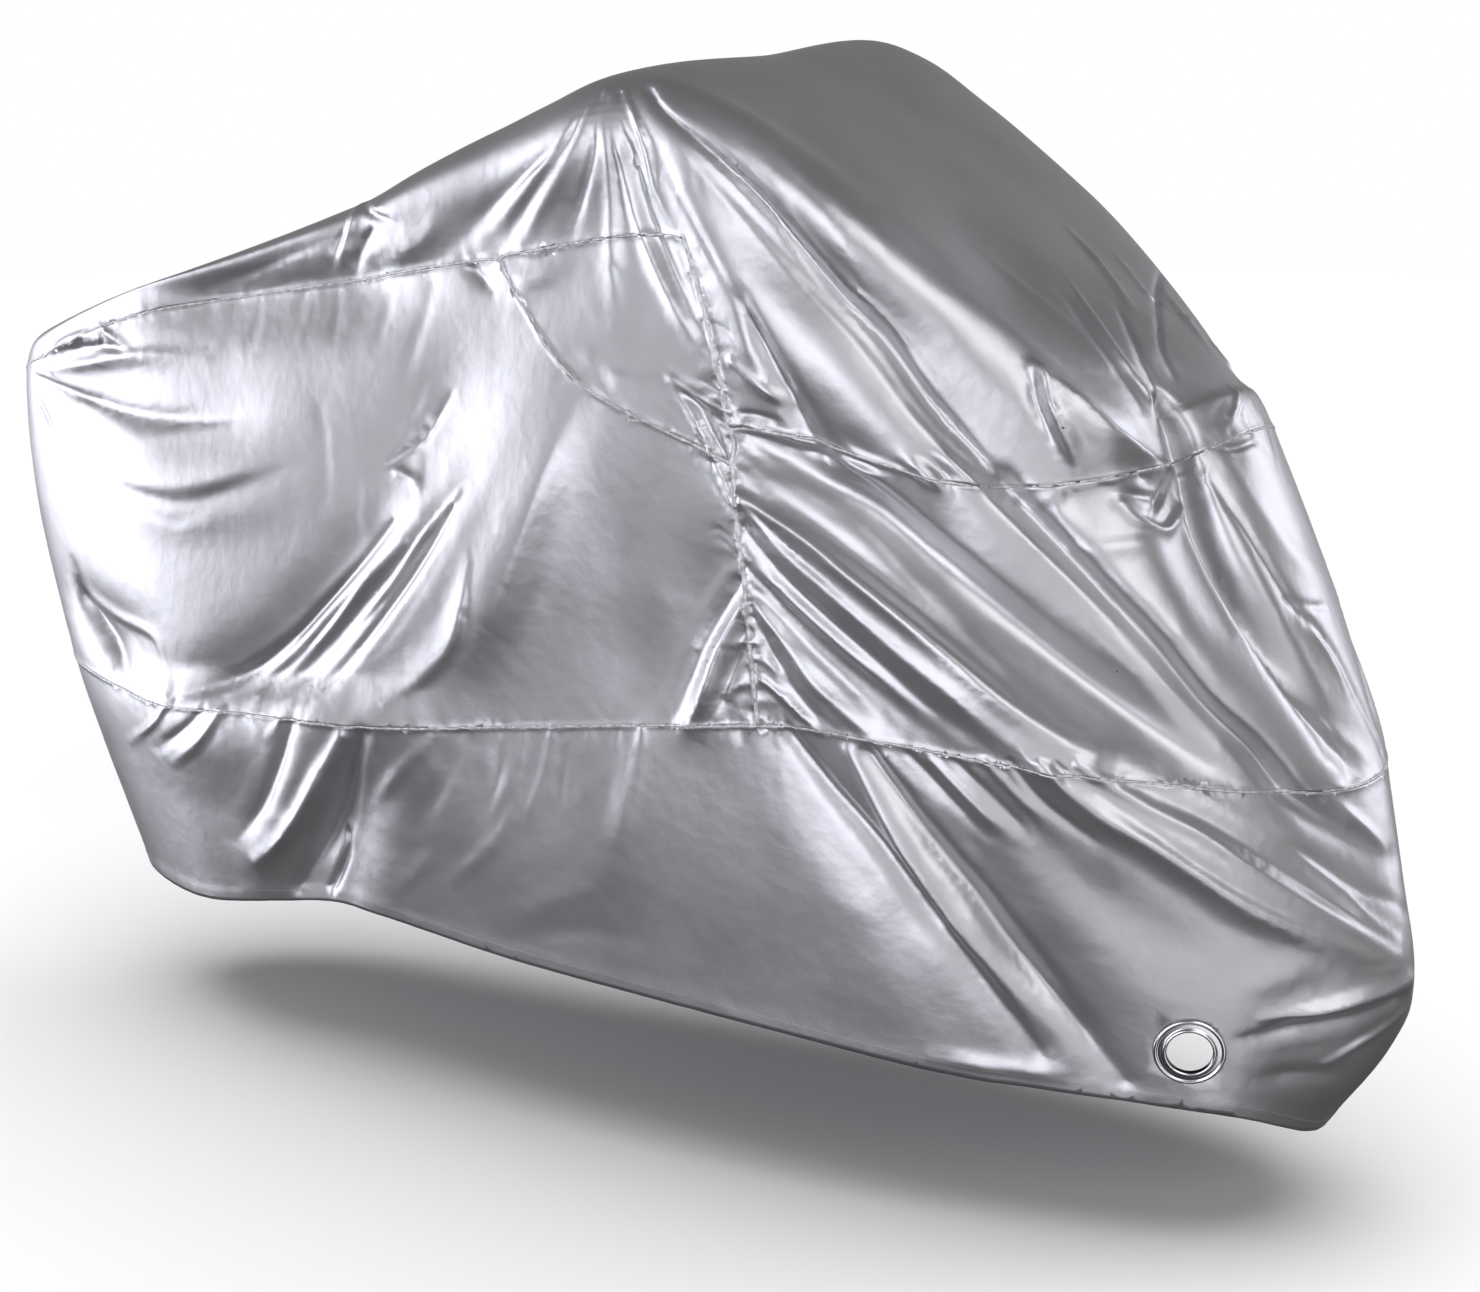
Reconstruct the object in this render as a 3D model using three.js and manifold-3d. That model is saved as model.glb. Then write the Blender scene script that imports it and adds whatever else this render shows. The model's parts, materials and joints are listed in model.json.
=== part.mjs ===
// Motorcycle cover: a hollow cloth with the shape in which it hangs when it is in use.
// Millimetres. +X points to the front, +Y to the rider's left and +Z up.
// The sections are measured from the ground, on the middle plane.
// The group is then moved so that its origin lies under the crown of the cloth.

import * as THREE from 'three';
import { mergeVertices } from 'three/addons/utils/BufferGeometryUtils.js';
import Module from 'manifold-3d';

// Driving dimensions
const clothThickness = 2;
const seamGap = 0.3;
const splineTightness = 0.44;
const barTip = { right: [178, 350, 1322], left: [140, 335, 1358] };
const crownAtTips = { x: 150, z: 1350 };
const eyelet = {
  hole: 26, barrel: 27.5, clothHole: 28, flatFrom: 31.5, flatTo: 37.4, frontFlange: 41, backFlange: 35,
  wall: 1.5, flatHeight: 1.4, rimHeight: 2, beadHeight: 3.5, sides: 36,
};
const punchLength = 40;

// Sections, one row each, from the tail to the nose. Each column is a level of the cloth, from the hem to
// the crown along the middle, and holds x, the distance out from the middle, and z. Where the left side
// hangs in another way than the right one, its own levels stand under left.
const sides = ['right', 'left'];
const otherSide = { right: 'left', left: 'right' };
const levelNames = ['hem', 'skirt', 'seam', 'waist', 'shoulder', 'ridge', 'crown'];
const sections = [
  {
    name: 'tail',
    hem: [-900, 0, 205], skirt: [-965, 0, 360], seam: [-1014, 0, 512], waist: [-1064, 0, 730],
    shoulder: [-1070, 0, 885], ridge: [-1020, 0, 960], crown: [-935, 0, 992],
  },
  {
    name: 'tail corner',
    hem: [-850, 108, 188], skirt: [-912, 118, 345], seam: [-960, 130, 492], waist: [-1004, 142, 715],
    shoulder: [-992, 160, 918], ridge: [-945, 140, 972], crown: [-850, 0, 1012],
  },
  {
    name: 'rear',
    hem: [-640, 218, 196], skirt: [-665, 238, 340], seam: [-685, 250, 480], waist: [-700, 262, 735],
    shoulder: [-695, 248, 1012], ridge: [-695, 222, 1045], crown: [-640, 0, 1062],
  },
  {
    name: 'seat',
    hem: [-370, 252, 241], skirt: [-372, 282, 372], seam: [-375, 296, 510], waist: [-380, 308, 790],
    shoulder: [-380, 282, 1064], ridge: [-380, 262, 1138], crown: [-345, 0, 1156],
  },
  {
    name: 'tank',
    hem: [-60, 282, 226], skirt: [-60, 306, 385], seam: [-60, 318, 543], waist: [-60, 334, 832],
    shoulder: [-60, 316, 1113], ridge: [-60, 298, 1243], crown: [-50, 0, 1264],
  },
  {
    name: 'bar',
    hem: [305, 290, 210], skirt: [325, 318, 400], seam: [332, 336, 600], waist: [308, 360, 940],
    shoulder: [252, 362, 1151], ridge: barTip.right, crown: [crownAtTips.x, 0, crownAtTips.z],
    left: { ridge: barTip.left },
  },
  {
    name: 'front',
    hem: [570, 262, 189], skirt: [592, 300, 388], seam: [600, 326, 595], waist: [578, 320, 893],
    shoulder: [505, 342, 1045], ridge: [422, 330, 1210], crown: [350, 0, 1252],
    left: { ridge: [422, 300, 1190] },
  },
  {
    name: 'nose corner',
    hem: [850, 176, 173], skirt: [872, 184, 300], seam: [872, 184, 562], waist: [728, 200, 905],
    shoulder: [680, 214, 990], ridge: [612, 210, 1070], crown: [525, 0, 1135],
    left: { shoulder: [675, 200, 975], ridge: [612, 190, 1055] },
  },
  {
    name: 'nose',
    hem: [908, 0, 110], skirt: [1004, 0, 275], seam: [952, 0, 548], waist: [790, 0, 935],
    shoulder: [752, 0, 978], ridge: [708, 0, 1013], crown: [638, 0, 1062],
  },
];

// Grid lines: columns stand at sections and rows run at levels, both counted with fractions.
// The curved gusset seam steps down one row at each of its columns, from the shoulder seam
// to the gathered seam.
const gussetSeam = [
  { column: 4.07, row: 4.0 }, { column: 4.17, row: 3.78 }, { column: 4.3, row: 3.55 },
  { column: 4.44, row: 3.35 }, { column: 4.6, row: 3.17 }, { column: 4.78, row: 3.0 },
  { column: 5.0, row: 2.86 },
];
const eyeletPlace = { column: 6.78, row: 0.59 };
const flatAroundEyelet = { columns: 0.17, rows: 0.31 };
const columns = [
  ...steps(0, 1, 3), ...steps(1, 2, 4), ...steps(2, 4, 12), 4,
  ...gussetSeam.map((corner) => corner.column),
  ...steps(5, 6, 8).slice(1), ...steps(6, 6.61, 5),
  ...[-1, 0, 1].map((side) => eyeletPlace.column + side * flatAroundEyelet.columns),
  ...steps(7, 8, 5).slice(1), 8,
];
const rows = [
  0, ...[-1, 0, 1].map((side) => eyeletPlace.row + side * flatAroundEyelet.rows),
  ...steps(1, 2, 4), ...steps(2, 2.86, 7),
  ...gussetSeam.map((corner) => corner.row).reverse(),
  ...steps(4, 5, 4).slice(1), ...steps(5, 6, 6), 6,
];
const seamRow = rows.indexOf(levelNames.indexOf('seam'));
const waistRow = rows.indexOf(levelNames.indexOf('waist'));
const shoulderRow = rows.indexOf(levelNames.indexOf('shoulder'));
const barColumn = columns.indexOf(sections.findIndex((section) => section.name === 'bar'));
const gussetColumn = columns.indexOf(gussetSeam[0].column);

// Evenly spaced numbers from start up to, but not with, end
function steps(start, end, count) {
  return Array.from({ length: count }, (_, k) => start + ((end - start) * k) / count);
}

// Curve through b and c, for f from 0 to 1 between them
function spline(a, b, c, d, f) {
  const f2 = f * f;
  const f3 = f2 * f;
  const leave = c.clone().sub(a).multiplyScalar(splineTightness);
  const arrive = d.clone().sub(b).multiplyScalar(splineTightness);
  return b.clone().multiplyScalar(2 * f3 - 3 * f2 + 1)
    .addScaledVector(leave, f3 - 2 * f2 + f)
    .addScaledVector(c, 3 * f2 - 2 * f3)
    .addScaledVector(arrive, f3 - f2);
}

// A control point of one side's skin. Past the tail, the nose and the crown it is the other side's.
function control(side, sectionIndex, levelIndex) {
  const last = sections.length - 1;
  const top = levelNames.length - 1;
  if (levelIndex < 0) {
    const below = control(side, sectionIndex, 0).multiplyScalar(2);
    return below.sub(control(side, sectionIndex, 1));
  }
  const past = sectionIndex < 0 || sectionIndex > last || levelIndex > top;
  const there = past ? otherSide[side] : side;
  const mirrored = Math.min(sectionIndex, 2 * last - sectionIndex);
  const section = sections[Math.abs(mirrored)];
  const level = levelNames[levelIndex > top ? 2 * top - levelIndex : levelIndex];
  const [x, out, z] = (there === 'left' && section.left?.[level]) || section[level];
  return new THREE.Vector3(x, there === 'left' ? out : -out, z);
}

// Point of the smooth skin of one side, before any fold
function skinPoint(side, column, row) {
  const i = Math.min(Math.floor(column), sections.length - 2);
  const j = Math.min(Math.floor(row), levelNames.length - 2);
  const across = [-1, 0, 1, 2].map((up) => {
    const along = [-1, 0, 1, 2].map((on) => control(side, i + on, j + up));
    return spline(...along, column - i);
  });
  return spline(...across, row - j);
}

// Folds, one row each. A path's points lie on the cloth and the fold is a smooth curve through them.
// Height is how far the cloth stands out at the fold's middle: a negative one is a trough.
// Reach is half the fold's width, at the path's start and at its end.
const folds = [
  { name: 'long valley', height: -22, reach: [60, 90],
    path: [[225, -365, 1285], [455, -355, 1090], [670, -275, 825], [880, -165, 580], [955, -80, 480]] },
  { name: 'fold down from the bar end', height: 20, reach: [60, 110],
    path: [[205, -372, 1270], [330, -368, 1095], [475, -345, 940]] },
  { name: 'edge of the hood', height: 15, reach: [60, 95],
    path: [[225, -355, 1310], [320, -360, 1255], [460, -355, 1125]] },
  { name: 'fold beside the long valley', height: 20, reach: [90, 95],
    path: [[595, -310, 890], [795, -225, 655], [895, -165, 540]] },
  { name: 'dark hollow', height: -28, reach: [95, 125],
    path: [[390, -355, 915], [680, -285, 715], [820, -220, 580], [930, -130, 450]] },
  { name: 'long gathered fold', height: 22, reach: [60, 95],
    path: [[320, -355, 855], [600, -325, 665], [845, -215, 495], [985, -60, 355]] },
  { name: 'hood hollow', height: -20, reach: [110, 75],
    path: [[500, -185, 1160], [625, -185, 1065], [745, -155, 925]] },
  { name: 'front valley', height: -32, reach: [75, 75],
    path: [[725, -110, 985], [755, -140, 920], [805, -150, 795], [950, -10, 560]] },
  { name: 'bright front panel', height: 15, reach: [90, 90],
    path: [[715, -245, 815], [805, -200, 715], [910, -120, 585]] },
  { name: 'crumple at the front', height: 18, reach: [60, 70],
    path: [[630, -260, 1020], [685, -230, 960], [735, -185, 905]] },
  { name: 'fold back from the gathers', height: 16, reach: [60, 75],
    path: [[320, -345, 745], [270, -340, 670], [230, -335, 585]] },
  { name: 'hollow back from the gathers', height: -14, reach: [60, 75],
    path: [[265, -350, 770], [215, -340, 680], [170, -330, 590]] },
  { name: 'broad side fold', height: 22, reach: [110, 150],
    path: [[55, -345, 960], [-55, -330, 750], [-215, -310, 565]] },
  { name: 'side fold', height: 15, reach: [60, 70],
    path: [[-105, -330, 825], [-235, -320, 695], [-390, -295, 540]] },
  { name: 'side hollow', height: -18, reach: [60, 75],
    path: [[-205, -325, 775], [-305, -310, 675], [-440, -295, 560], [-630, -265, 500]] },
  { name: 'side notch', height: -14, reach: [60, 60],
    path: [[-115, -325, 960], [-155, -325, 900], [-210, -320, 855]] },
  { name: 'tail hollow', height: -15, reach: [60, 75],
    path: [[-925, -190, 905], [-790, -235, 885], [-490, -290, 895]] },
  { name: 'tail ledge', height: 13, reach: [75, 75],
    path: [[-780, -235, 790], [-595, -280, 785], [-365, -305, 840]] },
  { name: 'tail pocket', height: -18, reach: [75, 90],
    path: [[-880, -190, 590], [-770, -225, 545], [-690, -255, 555]] },
  { name: 'skirt fold at the rear', height: 20, reach: [60, 70],
    path: [[-305, -300, 500], [-410, -280, 385], [-505, -255, 290]] },
  { name: 'skirt hollow at the rear', height: -22, reach: [60, 70],
    path: [[-260, -305, 505], [-315, -290, 405], [-385, -255, 265]] },
  { name: 'skirt fold in the middle', height: 12, reach: [60, 75],
    path: [[175, -330, 565], [155, -320, 480], [120, -315, 390]] },
  { name: 'first slanting trough', height: -18, reach: [60, 75],
    path: [[375, -335, 585], [480, -325, 455], [650, -250, 225]] },
  { name: 'slanting fold', height: 14, reach: [60, 60],
    path: [[445, -335, 570], [540, -315, 440], [670, -250, 235]] },
  { name: 'second slanting trough', height: -16, reach: [60, 75],
    path: [[490, -335, 570], [590, -315, 445], [735, -225, 225]] },
  { name: 'wedge before the eyelet', height: 17, reach: [60, 60],
    path: [[895, -180, 305], [950, -130, 312], [1000, -15, 308]] },
  { name: 'hollow under the wedge', height: -15, reach: [55, 60],
    path: [[875, -190, 262], [925, -150, 275], [1000, -30, 285]] },
  { name: 'fan of the bar end, fold', height: 13, reach: [55, 75],
    path: [[125, -345, 1300], [70, -345, 1220], [-5, -325, 1120]] },
  { name: 'fan of the bar end, trough', height: -14, reach: [55, 75],
    path: [[175, -360, 1300], [190, -370, 1235], [265, -360, 1060]] },
  { name: 'notch on the back', height: -13, reach: [55, 60],
    path: [[-275, -275, 1170], [-275, -295, 1130], [-295, -290, 1090]] },
  { name: 'taut back, right', height: 17, reach: [125, 110],
    path: [[-210, -283, 1200], [-60, -298, 1248], [60, -322, 1288]] },
  { name: 'taut back, left', height: 17, reach: [125, 110],
    path: [[-210, 283, 1200], [-60, 298, 1248], [50, 322, 1300]] },
  { name: 'left fold down from the bar end', height: 20, reach: [60, 110],
    path: [[190, 358, 1300], [300, 370, 1110], [430, 345, 960]] },
  { name: 'left valley', height: -20, reach: [60, 90],
    path: [[240, 355, 1270], [430, 345, 1080], [640, 270, 830], [820, 200, 620]] },
  { name: 'left hollow', height: -26, reach: [95, 125],
    path: [[350, 355, 900], [600, 305, 700], [820, 220, 520], [960, 90, 400]] },
  { name: 'left gathered fold', height: 18, reach: [60, 95],
    path: [[330, 355, 820], [570, 325, 620], [800, 230, 470]] },
  { name: 'left fold back from the gathers', height: 15, reach: [60, 75],
    path: [[315, 345, 760], [230, 340, 600]] },
  { name: 'left side fold', height: 18, reach: [75, 100],
    path: [[-60, 330, 900], [-200, 320, 700], [-330, 300, 530]] },
  { name: 'left side hollow', height: -18, reach: [75, 75],
    path: [[-180, 325, 860], [-330, 308, 660], [-520, 285, 520]] },
  { name: 'left tail hollow', height: -16, reach: [60, 75],
    path: [[-930, 190, 900], [-700, 260, 860], [-480, 290, 880]] },
  { name: 'left tail fold', height: 14, reach: [75, 95],
    path: [[-880, 200, 800], [-700, 262, 700], [-560, 275, 560]] },
  { name: 'left skirt fold', height: 18, reach: [60, 75],
    path: [[-250, 305, 510], [-330, 285, 380], [-400, 262, 260]] },
  { name: 'left skirt hollow', height: -18, reach: [60, 75],
    path: [[-120, 312, 520], [-165, 300, 380], [-200, 280, 260]] },
  { name: 'left slanting trough', height: -17, reach: [60, 75],
    path: [[420, 335, 590], [560, 305, 400], [660, 250, 240]] },
  { name: 'left slanting fold', height: 14, reach: [60, 75],
    path: [[300, 330, 580], [420, 320, 400], [500, 290, 230]] },
  { name: 'left fan of the bar end', height: 13, reach: [55, 75],
    path: [[95, 340, 1320], [30, 338, 1220], [-40, 322, 1130]] },
];
const foldSamples = 48;
const foldEnd = 0.15;
for (const fold of folds) {
  const curve = new THREE.CatmullRomCurve3(fold.path.map((point) => new THREE.Vector3(...point)));
  fold.line = curve.getPoints(foldSamples);
}

// How far the folds lift the cloth at a point. A fold is fullest halfway along and lower at its two ends.
function foldLift(point) {
  let lift = 0;
  for (const { line, height, reach } of folds) {
    const distances = line.map((spot) => spot.distanceTo(point));
    const nearest = Math.min(...distances);
    const along = distances.indexOf(nearest) / foldSamples;
    const width = reach[0] + (reach[1] - reach[0]) * along;
    if (nearest < width) {
      const fullness = Math.sin(Math.PI * (foldEnd + (1 - 2 * foldEnd) * along));
      lift += height * fullness * (1 - (nearest / width) ** 2) ** 2;
    }
  }
  return lift;
}

// The skin's corners: a right half with -Y and a left one with +Y, which share those on the middle plane
function makeSkin() {
  const points = [];
  const corner = { right: [], left: [] };
  columns.forEach((column, i) => {
    for (const side of sides) corner[side].push([]);
    rows.forEach((row, j) => {
      const onMiddle = i === 0 || i === columns.length - 1 || j === rows.length - 1;
      for (const side of sides) {
        if (onMiddle && side === 'left') {
          corner.left[i].push(corner.right[i][j]);
        } else {
          const point = skinPoint(side, column, row);
          if (onMiddle) point.y = 0;
          corner[side][i].push(points.push(point) - 1);
        }
      }
    });
  });
  return { points, corner };
}

// Which cloth a square belongs to. Squares that the gusset seam crosses give two answers,
// below and above it.
function clothOf(side, i, j) {
  if (j < seamRow) return ['skirt'];
  if (j >= shoulderRow || (i >= barColumn && j >= waistRow)) return ['top_panel'];
  if (i >= barColumn) return ['front_panel'];
  const panel = `side_panel_${side}`;
  const gusset = `gusset_${side}`;
  if (i < gussetColumn) return [panel];
  const crossed = shoulderRow - 1 - (i - gussetColumn);
  if (j === crossed) return [panel, gusset];
  return j < crossed ? [panel] : [gusset];
}

// Outward faces of every cloth, as lists of corner numbers
function sortFaces(corner) {
  const cloths = {};
  const add = (name, face) => { (cloths[name] ??= []).push(face); };
  for (const side of sides) {
    const at = corner[side];
    const outward = (face) => (side === 'right' ? face : [...face].reverse());
    for (let i = 0; i < columns.length - 1; i += 1) {
      for (let j = 0; j < rows.length - 1; j += 1) {
        const square = [at[i][j], at[i + 1][j], at[i + 1][j + 1], at[i][j + 1]];
        const names = clothOf(side, i, j);
        if (names.length === 1) {
          add(names[0], outward(square));
        } else {
          add(names[0], outward([square[0], square[1], square[3]]));
          add(names[1], outward([square[1], square[2], square[3]]));
        }
      }
    }
  }
  return cloths;
}

// Mean direction of the faces round each point
function normalsOf(points, faces) {
  const normals = points.map(() => new THREE.Vector3());
  for (const face of faces) {
    const across = points[face[2]].clone().sub(points[face[0]]);
    const along = points[face.at(-1)].clone().sub(points[face[1]]);
    const normal = across.cross(along);
    for (const index of face) normals[index].add(normal);
  }
  return normals.map((normal) => normal.normalize());
}

// A square is split along the diagonal whose ends are lifted most alike, so that its edge follows the fold
function split(face) {
  if (face.length === 3) return [face];
  const [a, b, c, d] = face;
  const alongFirst = Math.abs(lifts[a] - lifts[c]) <= Math.abs(lifts[b] - lifts[d]);
  return alongFirst ? [[a, b, c], [a, c, d]] : [[b, c, d], [b, d, a]];
}

// A cloth with its thickness: the outer face, the inner face and a wall round every edge.
// Each edge is drawn in by half the gap that the seams keep.
function thicken(faces, points, normals) {
  const inset = new Map();
  const edges = new Map();
  for (const face of faces) {
    const middle = face.reduce((sum, index) => sum.add(points[index]), new THREE.Vector3());
    middle.divideScalar(face.length);
    face.forEach((from, k) => {
      const to = face[(k + 1) % face.length];
      if (!edges.delete(`${to} ${from}`)) edges.set(`${from} ${to}`, [from, to]);
      const pull = inset.get(from) ?? new THREE.Vector3();
      inset.set(from, pull.add(middle.clone().sub(points[from]).normalize()));
    });
  }
  const onEdge = new Set([...edges.values()].flat());
  const place = new Map();
  const positions = [];
  for (const [index, pull] of inset) {
    const outer = points[index].clone();
    if (onEdge.has(index)) outer.addScaledVector(pull.normalize(), seamGap / 2);
    const inner = outer.clone().addScaledVector(normals[index], -clothThickness);
    place.set(index, positions.length / 3);
    positions.push(...outer.toArray(), ...inner.toArray());
  }
  const triangles = [];
  for (const face of faces) {
    for (const triangle of split(face)) {
      const [a, b, c] = triangle.map((index) => place.get(index));
      triangles.push(a, b, c, c + 1, b + 1, a + 1);
    }
  }
  for (const [from, to] of edges.values()) {
    const [a, b] = [place.get(from), place.get(to)];
    triangles.push(b, a, a + 1, b, a + 1, b + 1);
  }
  const geometry = new THREE.BufferGeometry();
  geometry.setAttribute('position', new THREE.Float32BufferAttribute(positions, 3));
  geometry.setIndex(triangles);
  return geometry;
}

// A solid for cutting, from a closed geometry
function asSolid(geometry) {
  const bare = geometry.clone();
  bare.deleteAttribute('normal');
  bare.deleteAttribute('uv');
  const merged = mergeVertices(bare);
  return new wasm.Manifold(new wasm.Mesh({
    numProp: 3,
    vertProperties: merged.attributes.position.array,
    triVerts: new Uint32Array(merged.index.array),
  }));
}

// A cloth with a round hole cut through it at each eyelet
function withHoles(geometry, places) {
  let solid = asSolid(geometry);
  for (const { turn, center } of places) {
    const punch = new THREE.CylinderGeometry(eyelet.clothHole, eyelet.clothHole, punchLength, eyelet.sides);
    punch.applyQuaternion(turn).translate(...center.toArray());
    solid = solid.subtract(asSolid(punch));
  }
  const { vertProperties, triVerts } = solid.getMesh();
  const cut = new THREE.BufferGeometry();
  cut.setAttribute('position', new THREE.BufferAttribute(vertProperties, 3));
  cut.setIndex(new THREE.BufferAttribute(triVerts, 1));
  return cut;
}

// The eyelet's outline as [radius, height above the cloth's outer face]: the back flange, the barrel,
// the front flange with its rim, the flat ring, and the bead round the hole
function eyeletOutline() {
  const { hole, barrel, backFlange, wall } = eyelet;
  const { frontFlange, flatFrom, flatTo, flatHeight, rimHeight, beadHeight } = eyelet;
  const back = -clothThickness - seamGap;
  return [
    [hole, back - wall], [backFlange, back - wall], [backFlange, back], [barrel, back],
    [barrel, seamGap], [frontFlange, seamGap], [frontFlange, rimHeight / 2],
    [frontFlange - 1, rimHeight], [flatTo + 1, rimHeight], [flatTo, flatHeight],
    [flatFrom, flatHeight], [flatFrom - 1.4, beadHeight - 0.6], [(hole + flatFrom) / 2 - 0.4, beadHeight],
    [hole + 0.7, beadHeight - 0.7], [hole, flatHeight], [hole, back - wall],
  ].map(([radius, height]) => new THREE.Vector2(radius, height));
}

const wasm = await Module();
wasm.setup();

const skin = makeSkin();
const cloths = sortFaces(skin.corner);
const allFaces = Object.values(cloths).flat();
const smoothNormals = normalsOf(skin.points, allFaces);
const lifts = skin.points.map(foldLift);
skin.points.forEach((point, index) => point.addScaledVector(smoothNormals[index], lifts[index]));
const normals = normalsOf(skin.points, allFaces);

// Round each eyelet the cloth is flat: the corners next to its centre are moved onto one plane
const eyeletColumn = columns.indexOf(eyeletPlace.column);
const eyeletRow = rows.indexOf(eyeletPlace.row);
const eyelets = sides.map((side) => {
  const grid = skin.corner[side];
  const middle = grid[eyeletColumn][eyeletRow];
  const center = skin.points[middle].clone();
  const out = normals[middle].clone();
  const plane = new THREE.Plane().setFromNormalAndCoplanarPoint(out, center);
  for (const on of [-1, 0, 1]) {
    for (const up of [-1, 0, 1]) {
      const index = grid[eyeletColumn + on][eyeletRow + up];
      plane.projectPoint(skin.points[index].clone(), skin.points[index]);
      normals[index].copy(out);
    }
  }
  const lathed = new THREE.Vector3(0, 1, 0);
  return { side, center, turn: new THREE.Quaternion().setFromUnitVectors(lathed, out) };
});

const silver = new THREE.MeshStandardMaterial({ color: 0xa6a7ab, roughness: 0.42, metalness: 0.55 });
const brightMetal = new THREE.MeshStandardMaterial({ color: 0xc9cacc, roughness: 0.22, metalness: 0.95 });
const cover = new THREE.Group();
for (const [name, faces] of Object.entries(cloths)) {
  const cloth = thicken(faces, skin.points, normals);
  const mesh = new THREE.Mesh(name === 'skirt' ? withHoles(cloth, eyelets) : cloth, silver.clone());
  mesh.name = name;
  cover.add(mesh);
}
for (const { side, center, turn } of eyelets) {
  const mesh = new THREE.Mesh(new THREE.LatheGeometry(eyeletOutline(), eyelet.sides), brightMetal.clone());
  mesh.name = `eyelet_${side}`;
  mesh.position.copy(center);
  mesh.quaternion.copy(turn);
  cover.add(mesh);
}
cover.position.set(-crownAtTips.x, 0, -crownAtTips.z + clothThickness);

export default cover;
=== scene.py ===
# %% [markdown]
# # A fitted motorcycle cover in silver-coated cloth
#
# The real thing is a thin polyester cloth with a silver coating, cut in seven cloths, sewn together and
# pulled over what stands under it. What one sees is not the cloth's weave but its drape: long folds that
# fan out from the upper tip, gathers along one seam, and small crinkles wherever a seam pulls.
#
# The construction comes first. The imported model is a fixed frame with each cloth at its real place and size,
# and everything below is built around it, in metres, in the same frame.

# %% The frame
import json
import math
import random

import bmesh
import bpy
import numpy as np
from mathutils import Matrix, Vector, noise
from mathutils.bvhtree import BVHTree
from mathutils.kdtree import KDTree


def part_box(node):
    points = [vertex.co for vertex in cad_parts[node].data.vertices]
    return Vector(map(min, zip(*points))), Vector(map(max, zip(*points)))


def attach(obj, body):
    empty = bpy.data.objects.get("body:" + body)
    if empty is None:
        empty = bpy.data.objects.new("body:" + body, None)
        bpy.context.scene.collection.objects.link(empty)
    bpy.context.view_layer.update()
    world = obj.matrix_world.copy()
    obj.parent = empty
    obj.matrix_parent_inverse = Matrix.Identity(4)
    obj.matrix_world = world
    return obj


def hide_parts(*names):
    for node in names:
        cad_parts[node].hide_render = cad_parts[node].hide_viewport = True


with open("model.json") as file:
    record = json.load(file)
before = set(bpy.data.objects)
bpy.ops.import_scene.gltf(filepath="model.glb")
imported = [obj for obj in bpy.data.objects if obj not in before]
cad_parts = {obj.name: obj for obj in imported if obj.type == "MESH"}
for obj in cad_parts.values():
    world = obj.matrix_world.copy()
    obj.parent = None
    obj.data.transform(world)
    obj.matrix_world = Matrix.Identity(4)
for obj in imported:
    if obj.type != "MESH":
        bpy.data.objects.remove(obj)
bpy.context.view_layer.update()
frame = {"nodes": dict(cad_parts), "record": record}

MM = 0.001
crown_to_floor = 1348 * MM

# %% [markdown]
# ## The camera
#
# Folds are placed as they show from this view, so the camera is set before any cloth is made. It stands to the front
# right of the cover, a little above its middle, at the distance of somebody who takes in the whole thing at once.

# %% Camera
view_azimuth, view_elevation = math.radians(31), math.radians(12.5)
view_distance = 3.5
view_target = Vector((-0.05, 0, -0.748))
sensor_width, lens = 36, 65.7

back = Vector((math.sin(view_azimuth) * math.cos(view_elevation),
               -math.cos(view_azimuth) * math.cos(view_elevation),
               math.sin(view_elevation)))
camera = bpy.data.objects.new("camera", bpy.data.cameras.new("camera"))
camera.data.sensor_width = sensor_width
camera.data.lens = lens
camera.location = view_target + view_distance * back
camera.rotation_euler = back.to_track_quat("Z", "Y").to_euler()
bpy.context.scene.collection.objects.link(camera)
bpy.context.scene.camera = camera
print("camera at", [round(v, 2) for v in camera.location])

# %% [markdown]
# ## One sheet out of seven cloths
#
# Each cloth of the frame is a closed solid, 2 mm thick. For a fine surface only its outer face is wanted.
# It could be remodelled from nothing, but then it would drift from the frame. A copy of the solid is cheaper
# and exact: its doubles are merged, and a flood over the faces, which stops at the sharp edge round the
# cloth's border, finds the outer face. The seven outer faces are then welded into one sheet, so that a fold
# can run over a seam without a step. Every face remembers its cloth by its material number.

# %% Outer faces
cloth_names = ["top_panel", "side_panel_right", "side_panel_left", "gusset_right", "gusset_left",
               "front_panel", "skirt"]
border_angle = math.radians(50)
weld_distance = 1 * MM


def inside_point(point):
    """A point in the hollow, level with this one."""
    return Vector((min(max(point.x, -0.85), 0.5), 0, min(max(point.z, -1.2), -0.45)))


def outwardness(face):
    middle = face.calc_center_median()
    return face.normal.dot((middle - inside_point(middle)).normalized())


def keep_outer_face(cloth):
    """Delete all of a closed cloth but the outer face."""
    start = max(cloth.faces, key=lambda face: outwardness(face) * face.calc_area())
    reached, front = {start}, [start]
    while front:
        for edge in front.pop().edges:
            if edge.calc_face_angle(math.pi) > border_angle:
                continue
            for face in edge.link_faces:
                if face not in reached:
                    reached.add(face)
                    front.append(face)
    bmesh.ops.delete(cloth, geom=[face for face in cloth.faces if face not in reached], context="FACES")


def eyelet_faces():
    """Side, centre on the outer face of the cloth, and axis of each eyelet, from the record's mounts."""
    ring_height = 1.4 * MM
    for side in ("right", "left"):
        mount = next(m for m in frame["record"]["mounts"] if m["name"] == f"eyelet_face_{side}")
        axis = Vector(mount["axis"])
        low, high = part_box(f"eyelet_{side}")
        middle = (low + high) / 2
        plane_point = Vector(mount["pos_m"]) - ring_height * axis
        yield side, middle - (middle - plane_point).dot(axis) * axis, axis


eyelets = list(eyelet_faces())
flat_radius = 43 * MM


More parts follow.
